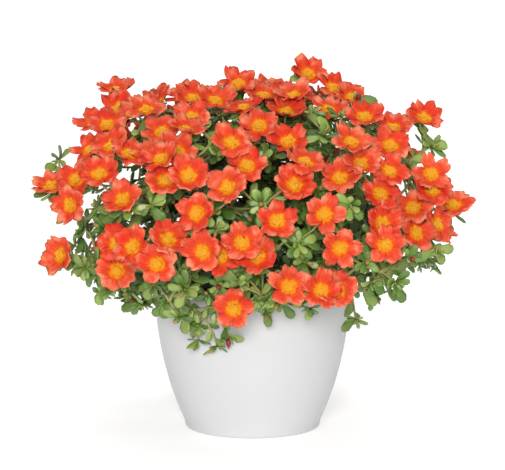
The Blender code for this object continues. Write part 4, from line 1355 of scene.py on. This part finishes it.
def gather_foliage(blooms, stems, sprigs, fill):
    """Every fine leaf of the plant, without those that would stand in a bloom, in the pot or in the soil."""
    draw = np.random.default_rng(SEED + 5)
    foliage = Foliage()
    for sprig in sprigs:
        node, path = sprig["node"], sprig["path"]
        counts = SPRIG_ROSETTE if sprig["arms"] == ROSETTE_ARMS else SPRIG_WHORL
        size = sprig["size"] * (LOW_SIZE if path[-1][2] < LOW_HEIGHT else 1.0)
        dress_whorl(foliage, node, path[-1], sprig["facing"], counts, sprig["roll"] + SPRIG_TURN,
                    sprig["lift"], size, draw)
        dress_shoot(foliage, node, path, LEAF_PITCH, draw)
    for node, path in fill:
        facing = unit(path[-1] - path[-2] + FILL_OUTWARD * dome_normal(path[-1]))
        dress_whorl(foliage, node, path[-1], facing, FILL_ROSETTE, draw.uniform(0, math.tau), FILL_LIFT,
                    FILL_SIZE, draw)
        dress_shoot(foliage, node, path, LEAF_PITCH, draw)
    for name, path in stems.items():
        dress_shoot(foliage, name, path[2:], STEM_PITCH, draw)
    rows = np.array(foliage.rows)
    kept = np.ones(len(rows), bool)
    for share in LEAF_PROBES:
        probe = rows[:, 0:3] + share * rows[:, 9:10] * rows[:, 3:6]
        kept &= ~in_bloom(probe, blooms) & ~in_pot(probe)
    foliage.rows = rows[kept]
    foliage.nodes = [node for node, keep in zip(foliage.nodes, kept) if keep]
    return foliage


def bud_rows(blooms, sprigs, fill, draw):
    """Each bud at some of the outer leafy tips, and each cup under a bloom, as a row of numbers.

    A row holds the foot, the axis, the length, the radius and the tone, which is 0 for a cup and high where a
    bud is spent."""
    ends = [(sprig["path"][-1], sprig["facing"]) for sprig in sprigs if sprig["arms"] == ROSETTE_ARMS]
    ends += [(path[-1], unit(path[-1] - path[-2])) for _, path in fill]
    tips = np.array([end[0] for end in ends])
    outer = (dome_level(tips) ** (1 / DOME_POWER) > BUD_LEVEL) & ~in_bloom(tips, blooms)
    rows = []
    for (tip, facing), shown in zip(ends, outer):
        if shown and draw.uniform() < BUD_SHARE:
            axis = unit(facing + draw.normal(0, BUD_STRAY, 3))
            rows.append((*(tip + BUD_OUT * axis), *axis, BUD_LENGTH * draw.uniform(*BUD_LONG),
                         BUD_RADIUS * draw.uniform(*BUD_WIDE),
                         draw.uniform(*BUD_TONE) + CROWN_SPENT * (tip[2] > CROWN_HEIGHT)))
    for bloom in blooms:
        top = bloom["place"] - CUP_SUNK * BLOOM_RADIUS * bloom["facing"]
        rows.append((*top, *(-bloom["facing"]), CUP_LENGTH * BLOOM_RADIUS, CUP_RADIUS * BLOOM_RADIUS, 0.0))
    return np.array(rows)


def build_buds(blooms, sprigs, fill, material):
    """Pointed buds, a few of them spent, and a green cup under each bloom.

    Each is turned round its axis: rings whose radius follows BUD_OUTLINE between a foot and a pointed end."""
    rows = bud_rows(blooms, sprigs, fill, np.random.default_rng(SEED + 8))
    along, radius = np.array(BUD_STATIONS)[:, None], np.array(BUD_OUTLINE)[:, None]
    rings = round_points(radius, full_turn(BUD_SIDES), along).reshape(-1, 3)
    bud = with_ends((0, 0, 0.0), rings, (0, 0, 1.0))
    frames = frames_along(rows[:, 3:6], np.zeros(len(rows)))
    points = turned(bud * rows[:, None, [7, 7, 6]], frames) + rows[:, None, :3]
    faces = skin_faces(len(BUD_STATIONS), BUD_SIDES, len(rows), backward=True)
    grain = np.stack(np.broadcast_arrays(0.0, bud[:, 2], rows[:, 8:9]), axis=-1)
    put_mesh("buds", points.reshape(-1, 3), faces, material, (), grain.reshape(-1, 3))


def bend(middle, radius, first, last, count):
    """Points of an arc in a profile, as distances from the axis and heights."""
    turns = np.linspace(first, last, count)
    return middle + radius * np.stack((np.cos(turns), np.sin(turns)), axis=1)


def build_pot_shell(material):
    """The pot turned round its axis: rounded foot, flared outside, rolled lip, inner wall and floor.

    The outer radius is the model's pot_radius of the height, the lip is half a turn and the foot nearly a
    quarter, and the grid is the profile by the angle."""
    outside, inside = (np.linspace(*stretch) * POT_HEIGHT for stretch in (OUTSIDE, INSIDE))
    corner = pot_radius(outside[0]) - FOOT_RADIUS
    profile = np.concatenate((
        ((0.5 * BASE_RADIUS, 0.0),),
        bend((corner, FOOT_RADIUS), FOOT_RADIUS, *FOOT_TURNS, FOOT_POINTS),
        np.stack((pot_radius(outside), outside), axis=1),
        bend((RIM_RADIUS - WALL / 2, POT_HEIGHT - LIP_BELOW), WALL / 2, 0, math.pi, LIP_POINTS),
        np.stack((pot_radius(inside) - WALL, inside), axis=1),
        ((BASE_RADIUS - 1.5 * WALL, WALL), (0.5 * BASE_RADIUS, WALL)),
    ))
    rings = round_points(profile[:, :1], full_turn(POT_TURNS), profile[:, 1:])
    points = with_ends((0, 0, 0.0), rings.reshape(-1, 3), (0, 0, WALL))
    put_mesh("pot_shell", points, skin_faces(len(profile), POT_TURNS), material, ("pot",))


def build_soil_bed(material):
    """The soil's top as a disc of rings, crumbled by waves of several sizes, over a plain body in the pot."""
    level = POT_HEIGHT - SOIL_BELOW_RIM
    draw = np.random.default_rng(SEED + 6)
    share = np.linspace(1, SOIL_INNER, SOIL_RINGS)[:, None]
    turns = full_turn(SOIL_TURNS)[None]
    top = round_points((pot_radius(level) - WALL - SOIL_GAP) * share, turns, 0.0)
    x, y = top[..., 0], top[..., 1]
    rise = SOIL_CROWN * (1 - share**2) + 0 * turns
    loose = share < SOIL_EDGE
    for size, height in CRUMBS:
        phase = draw.uniform(0, math.tau, 4)
        waves = np.sin(x / size * 3 + phase[0] + 2 * np.sin(y / size + phase[2]))
        waves = waves * np.sin(y / size * 3 + phase[1] + 2 * np.sin(x / size + phase[3]))
        rise = rise + height * waves * loose
    top[..., 2] = level - SOIL_SUNK + rise + draw.uniform(-CRUMB_STRAY, CRUMB_STRAY, rise.shape) * loose
    heights = np.array(BODY_HEIGHTS)[:, None] * POT_HEIGHT
    body = round_points(pot_radius(heights) - WALL - BODY_GAP, turns, heights)
    rings = np.concatenate((top[::-1], body)).reshape(-1, 3)
    points = with_ends((0, 0, level + SOIL_CROWN - SOIL_SUNK), rings, (0, 0, WALL + SOIL_SUNK))
    faces = skin_faces(SOIL_RINGS + len(BODY_HEIGHTS), SOIL_TURNS, backward=True)
    put_mesh("soil_bed", points, faces, material, ("soil",))


def rgba(colour):
    """A colour with full opacity, or a link as it is."""
    return colour if isinstance(colour, bpy.types.NodeSocket) else (*colour, 1.0)


class Finish:
    """A new material, with short ways to add nodes and to set its shader."""

    def __init__(self, name):
        self.material = bpy.data.materials.new(name)
        self.material.use_nodes = True
        self.tree = self.material.node_tree
        self.shader = self.tree.nodes["Principled BSDF"]

    def feed(self, socket, value):
        """Links a socket to an output, or sets it to a value."""
        if isinstance(value, bpy.types.NodeSocket):
            self.tree.links.new(value, socket)
        else:
            socket.default_value = value

    def add(self, kind, inputs, **settings):
        """A node of a kind with its settings, and its inputs by name or number."""
        node = self.tree.nodes.new(kind)
        for key, value in settings.items():
            setattr(node, key, value)
        for key, value in inputs.items():
            self.feed(node.inputs[key], value)
        return node

    def place(self):
        """Where on the object a point is."""
        return self.add("ShaderNodeTexCoord", {}).outputs["Object"]

    def grain(self):
        """The piece's own grain: across, along and tone."""
        attribute = self.add("ShaderNodeAttribute", {}, attribute_name="grain")
        parts = self.add("ShaderNodeSeparateXYZ", {"Vector": attribute.outputs["Vector"]})
        return parts.outputs["X"], parts.outputs["Y"], parts.outputs["Z"]

    def noise(self, vector, scale, detail=2.0, roughness=0.5):
        """Fractal noise on a vector."""
        inputs = {"Vector": vector, "Scale": scale, "Detail": detail, "Roughness": roughness}
        return self.add("ShaderNodeTexNoise", inputs).outputs["Fac"]

    def maths(self, operation, first, second, clamp=False):
        """A sum, product or other step on two values."""
        node = self.add("ShaderNodeMath", {0: first, 1: second}, operation=operation, use_clamp=clamp)
        return node.outputs["Value"]

    def times(self, first, second, clamp=False):
        """The product of two values."""
        return self.maths("MULTIPLY", first, second, clamp)

    def over(self, value, start, gain):
        """How far a value is over a start, times the gain, kept from 0 to 1."""
        return self.times(self.maths("SUBTRACT", value, start, True), gain, True)

    def under(self, value, start, gain):
        """How far a value is under a start, times the gain, kept from 0 to 1."""
        return self.times(self.maths("SUBTRACT", start, value, True), gain, True)

    def mix(self, factor, first, second):
        """Two colours mixed by a factor."""
        inputs = {0: factor, 6: rgba(first), 7: rgba(second)}
        return self.add("ShaderNodeMix", inputs, data_type="RGBA").outputs[2]

    def ramp(self, factor, stops):
        """A colour ramp over a factor, from (place, colour) pairs."""
        node = self.add("ShaderNodeValToRGB", {"Fac": factor})
        marks = node.color_ramp.elements
        while len(marks) < len(stops):
            marks.new(0.5)
        for mark, (place, colour) in zip(marks, stops):
            mark.position = place
            mark.color = rgba(colour)
        return node.outputs["Color"]

    def bump(self, height, strength, distance):
        """A bump of the surface by a height."""
        node = self.add("ShaderNodeBump", {"Height": height, "Strength": strength, "Distance": distance})
        self.feed(self.shader.inputs["Normal"], node.outputs["Normal"])

    def surface(self, colour, roughness, specular=0.5, flesh=0.0, bleed=(1.0, 0.2, 0.1)):
        """Sets the shader: its colour and gloss, how much light goes in, and how far each colour spreads."""
        values = {"Base Color": rgba(colour), "Roughness": roughness, "Specular IOR Level": specular,
                  "Subsurface Weight": flesh, "Subsurface Radius": bleed, "Subsurface Scale": 1.0}
        for name, value in values.items():
            self.feed(self.shader.inputs[name], value)


def petal_material():
    """Silky orange-red petals: golden at the foot, coral towards the edge, with fine veins that fan out, and
    random patches of painted highlight and painted shade over the outer half.
    """
    silk = Finish("petal_silk")
    across, along, tone = silk.grain()
    place = silk.place()
    mottle = silk.times(silk.maths("SUBTRACT", silk.noise(place, scale=260.0, detail=3.0), 0.5), 0.22)
    body = silk.ramp(silk.maths("ADD", along, mottle), PETAL_COLOURS)
    fan = {"X": silk.times(across, 9.0), "Y": silk.times(along, 1.3), "Z": tone}
    veins = silk.noise(silk.add("ShaderNodeCombineXYZ", fan).outputs["Vector"], scale=1.0, roughness=0.6)
    streak = silk.times(silk.under(veins, 0.60, 2.9), silk.over(along, 0.22, 6.0))
    veined = silk.mix(streak, body, VEIN_RED)
    # Painted highlight and painted shade: random patches of pale coral and dark red over the outer half of
    # each petal
    drift = silk.noise(place, scale=110.0)
    outer = silk.over(along, 0.40, 2.0)
    highlighted = silk.mix(silk.times(silk.over(drift, 0.52, 8.0), outer), veined, CORAL_HIGHLIGHT)
    shaded = silk.mix(silk.times(silk.under(drift, 0.48, 9.0), outer), highlighted, PAINTED_SHADE_RED)
    orange = silk.mix(silk.times(tone, silk.times(outer, 0.42)), shaded, WARM_ORANGE)
    red = silk.mix(silk.times(silk.under(tone, 0.42, 1.7), outer), orange, DEEP_ORANGE)
    silk.surface(red, roughness=0.6, specular=0.08, flesh=0.15, bleed=(0.0022, 0.0009, 0.0003))
    silk.bump(veins, strength=0.8, distance=0.0010)
    return silk.material


def stamen_material():
    """Golden stamens: orange filaments and powdery yellow anthers."""
    powder = Finish("stamen_gold")
    part, _, tone = powder.grain()
    gold = powder.ramp(powder.times(part, 0.5), STAMEN_COLOURS)
    powder.surface(powder.mix(powder.times(tone, 0.42), gold, OLD_GOLD), roughness=0.7)
    return powder.material


def leaf_material():
    """Waxy fleshy leaves: dark inside the head and mid green to pale outside, painted shade and light by
    depth on top of a random tone, with a reddish margin.
    """
    wax = Finish("leaf_wax")
    edge, _, tone = wax.grain()
    place = wax.place()
    green = wax.ramp(tone, LEAF_COLOURS)
    mottled = wax.mix(wax.times(wax.noise(place, scale=170.0, detail=3.0), 0.3), green, MOSS_GREEN)
    drift = wax.over(wax.noise(place, scale=42.0), 0.48, 5.0)
    olive = wax.mix(wax.times(drift, wax.times(tone, 0.6)), mottled, OLIVE_TAN)
    rim = wax.over(edge, 0.82, 3.0)
    blush = wax.mix(wax.times(rim, wax.times(tone, 0.8)), olive, MARGIN_RED)
    wax.surface(blush, roughness=0.40, specular=0.55, flesh=0.12, bleed=(0.0006, 0.0012, 0.0004))
    wax.bump(wax.noise(place, scale=420.0), strength=0.25, distance=0.0003)
    return wax.material


def bud_material():
    """Buds that are green at the foot and blush towards the tip, and dark crimson where they are spent."""
    skin = Finish("bud_skin")
    _, along, tone = skin.grain()
    plain = skin.mix(skin.under(tone, 0.15, 20.0), skin.ramp(along, BUD_COLOURS), CUP_GREEN)
    skin.surface(skin.mix(skin.over(tone, 0.78, 20.0), plain, SPENT_CRIMSON), roughness=0.45)
    return skin.material


def stem_material():
    """Tan stems with a pink blush that comes and goes along them."""
    skin = Finish("stem_skin")
    tone = skin.grain()[2]
    place = skin.place()
    tan = skin.ramp(skin.noise(place, scale=60.0, detail=3.0), STEM_COLOURS)
    skin.surface(skin.mix(skin.times(tone, 0.6), tan, SAP_GREEN), roughness=0.42, flesh=0.1,
                 bleed=(0.001, 0.0006, 0.0003))
    skin.bump(skin.noise(place, scale=500.0), strength=0.3, distance=0.0003)
    return skin.material


def pot_material():
    """Satin white moulded plastic with the faintest orange peel."""
    plastic = Finish("pot_plastic")
    place = plastic.place()
    white = plastic.ramp(plastic.noise(place, scale=14.0, detail=3.0), POT_COLOURS)
    plastic.surface(white, roughness=0.45, specular=0.15, flesh=0.1, bleed=(0.002, 0.002, 0.002))
    plastic.bump(plastic.noise(place, scale=900.0), strength=0.08, distance=0.0002)
    return plastic.material


def soil_material():
    """Dark crumbly peat with bark and a few pale grains."""
    peat = Finish("peat_crumb")
    crumbs = peat.noise(peat.place(), scale=320.0, detail=6.0, roughness=0.7)
    peat.surface(peat.ramp(crumbs, SOIL_COLOURS), roughness=0.95)
    peat.bump(crumbs, strength=0.9, distance=0.002)
    return peat.material


def build_floor():
    """A wide plain floor that glows faintly, so that the plant's shadow on it stays soft."""
    mesh = bpy.data.meshes.new("floor")
    corners = [(-FLOOR, -FLOOR, 0), (FLOOR, -FLOOR, 0), (FLOOR, FLOOR, 0), (-FLOOR, FLOOR, 0)]
    mesh.from_pydata(corners, [], [(0, 1, 2, 3)])
    paper = Finish("floor_paper")
    paper.surface(FLOOR_WHITE, roughness=0.9)
    paper.shader.inputs["Emission Color"].default_value = rgba(PURE_WHITE)
    paper.shader.inputs["Emission Strength"].default_value = FLOOR_GLOW
    mesh.materials.append(paper.material)
    floor = bpy.data.objects.new("floor", mesh)
    bpy.context.scene.collection.objects.link(floor)


def look_matrix(place, target):
    """A placing matrix at a place whose -Z looks at a target, with +Y up."""
    way = Vector(target) - Vector(place)
    matrix = way.to_track_quat("-Z", "Y").to_matrix().to_4x4()
    matrix.translation = place
    return matrix


def build_stage():
    """Soft studio light from the front, the top and the back, a pale world and a plain floor."""
    build_floor()
    for name, (place, power, angle) in LIGHTS.items():
        data = bpy.data.lights.new(name, "SUN")
        data.energy = power
        data.angle = angle
        light = bpy.data.objects.new(name, data)
        light.matrix_world = look_matrix(place, (0, 0, 0))
        bpy.context.scene.collection.objects.link(light)
    world = bpy.data.worlds.new("pale_room")
    bpy.context.scene.world = world
    world.use_nodes = True
    sky = world.node_tree.nodes["Background"].inputs
    sky["Color"].default_value = rgba(PURE_WHITE)
    sky["Strength"].default_value = WORLD_POWER


def add_camera():
    """The camera where the photograph's stood, its pixels as wide at the pot's axis as in the photograph."""
    data = bpy.data.cameras.new("camera")
    data.sensor_width = SENSOR
    data.lens = SENSOR * math.hypot(VIEW_DISTANCE, VIEW_HEIGHT - AIM_HEIGHT) / (PHOTO_WIDTH * PIXEL)
    camera = bpy.data.objects.new("camera", data)
    camera.matrix_world = look_matrix((0.0, -VIEW_DISTANCE, VIEW_HEIGHT), (0.0, 0.0, AIM_HEIGHT))
    bpy.context.scene.collection.objects.link(camera)
    bpy.context.scene.camera = camera
    bpy.context.scene.view_settings.view_transform = "Standard"


def main():
    """The plant and its pot, piece by piece, with the stage and the camera."""
    blooms, stems, sprigs = grow_plant()
    starts, owners = shoot_starts(stems, sprigs)
    fill = grow_fill(starts, owners, blooms, np.random.default_rng(SEED + 7))
    build_pot_shell(pot_material())
    build_soil_bed(soil_material())
    build_petals(blooms, petal_material())
    build_stamens(blooms, stamen_material())
    build_foliage(gather_foliage(blooms, stems, sprigs, fill), leaf_material())
    build_buds(blooms, sprigs, fill, bud_material())
    skin = stem_material()
    thick = (STEM_RADIUS, STEM_TAPER * STEM_RADIUS)
    build_tubes("main_stems", [(path, thick) for path in stems.values()], STEM_RINGS, STEM_SIDES, skin)
    shoots = [(sprig["path"], SPRIG_THICK) for sprig in sprigs]
    shoots += [(path, FILL_THICK) for _, path in fill]
    shoots += [(path, STALK_THICK) for path in grow_stalks(starts, sprigs, blooms)]
    build_tubes("shoots", shoots, SHOOT_RINGS, SHOOT_SIDES, skin)
    build_stage()
    add_camera()


main()
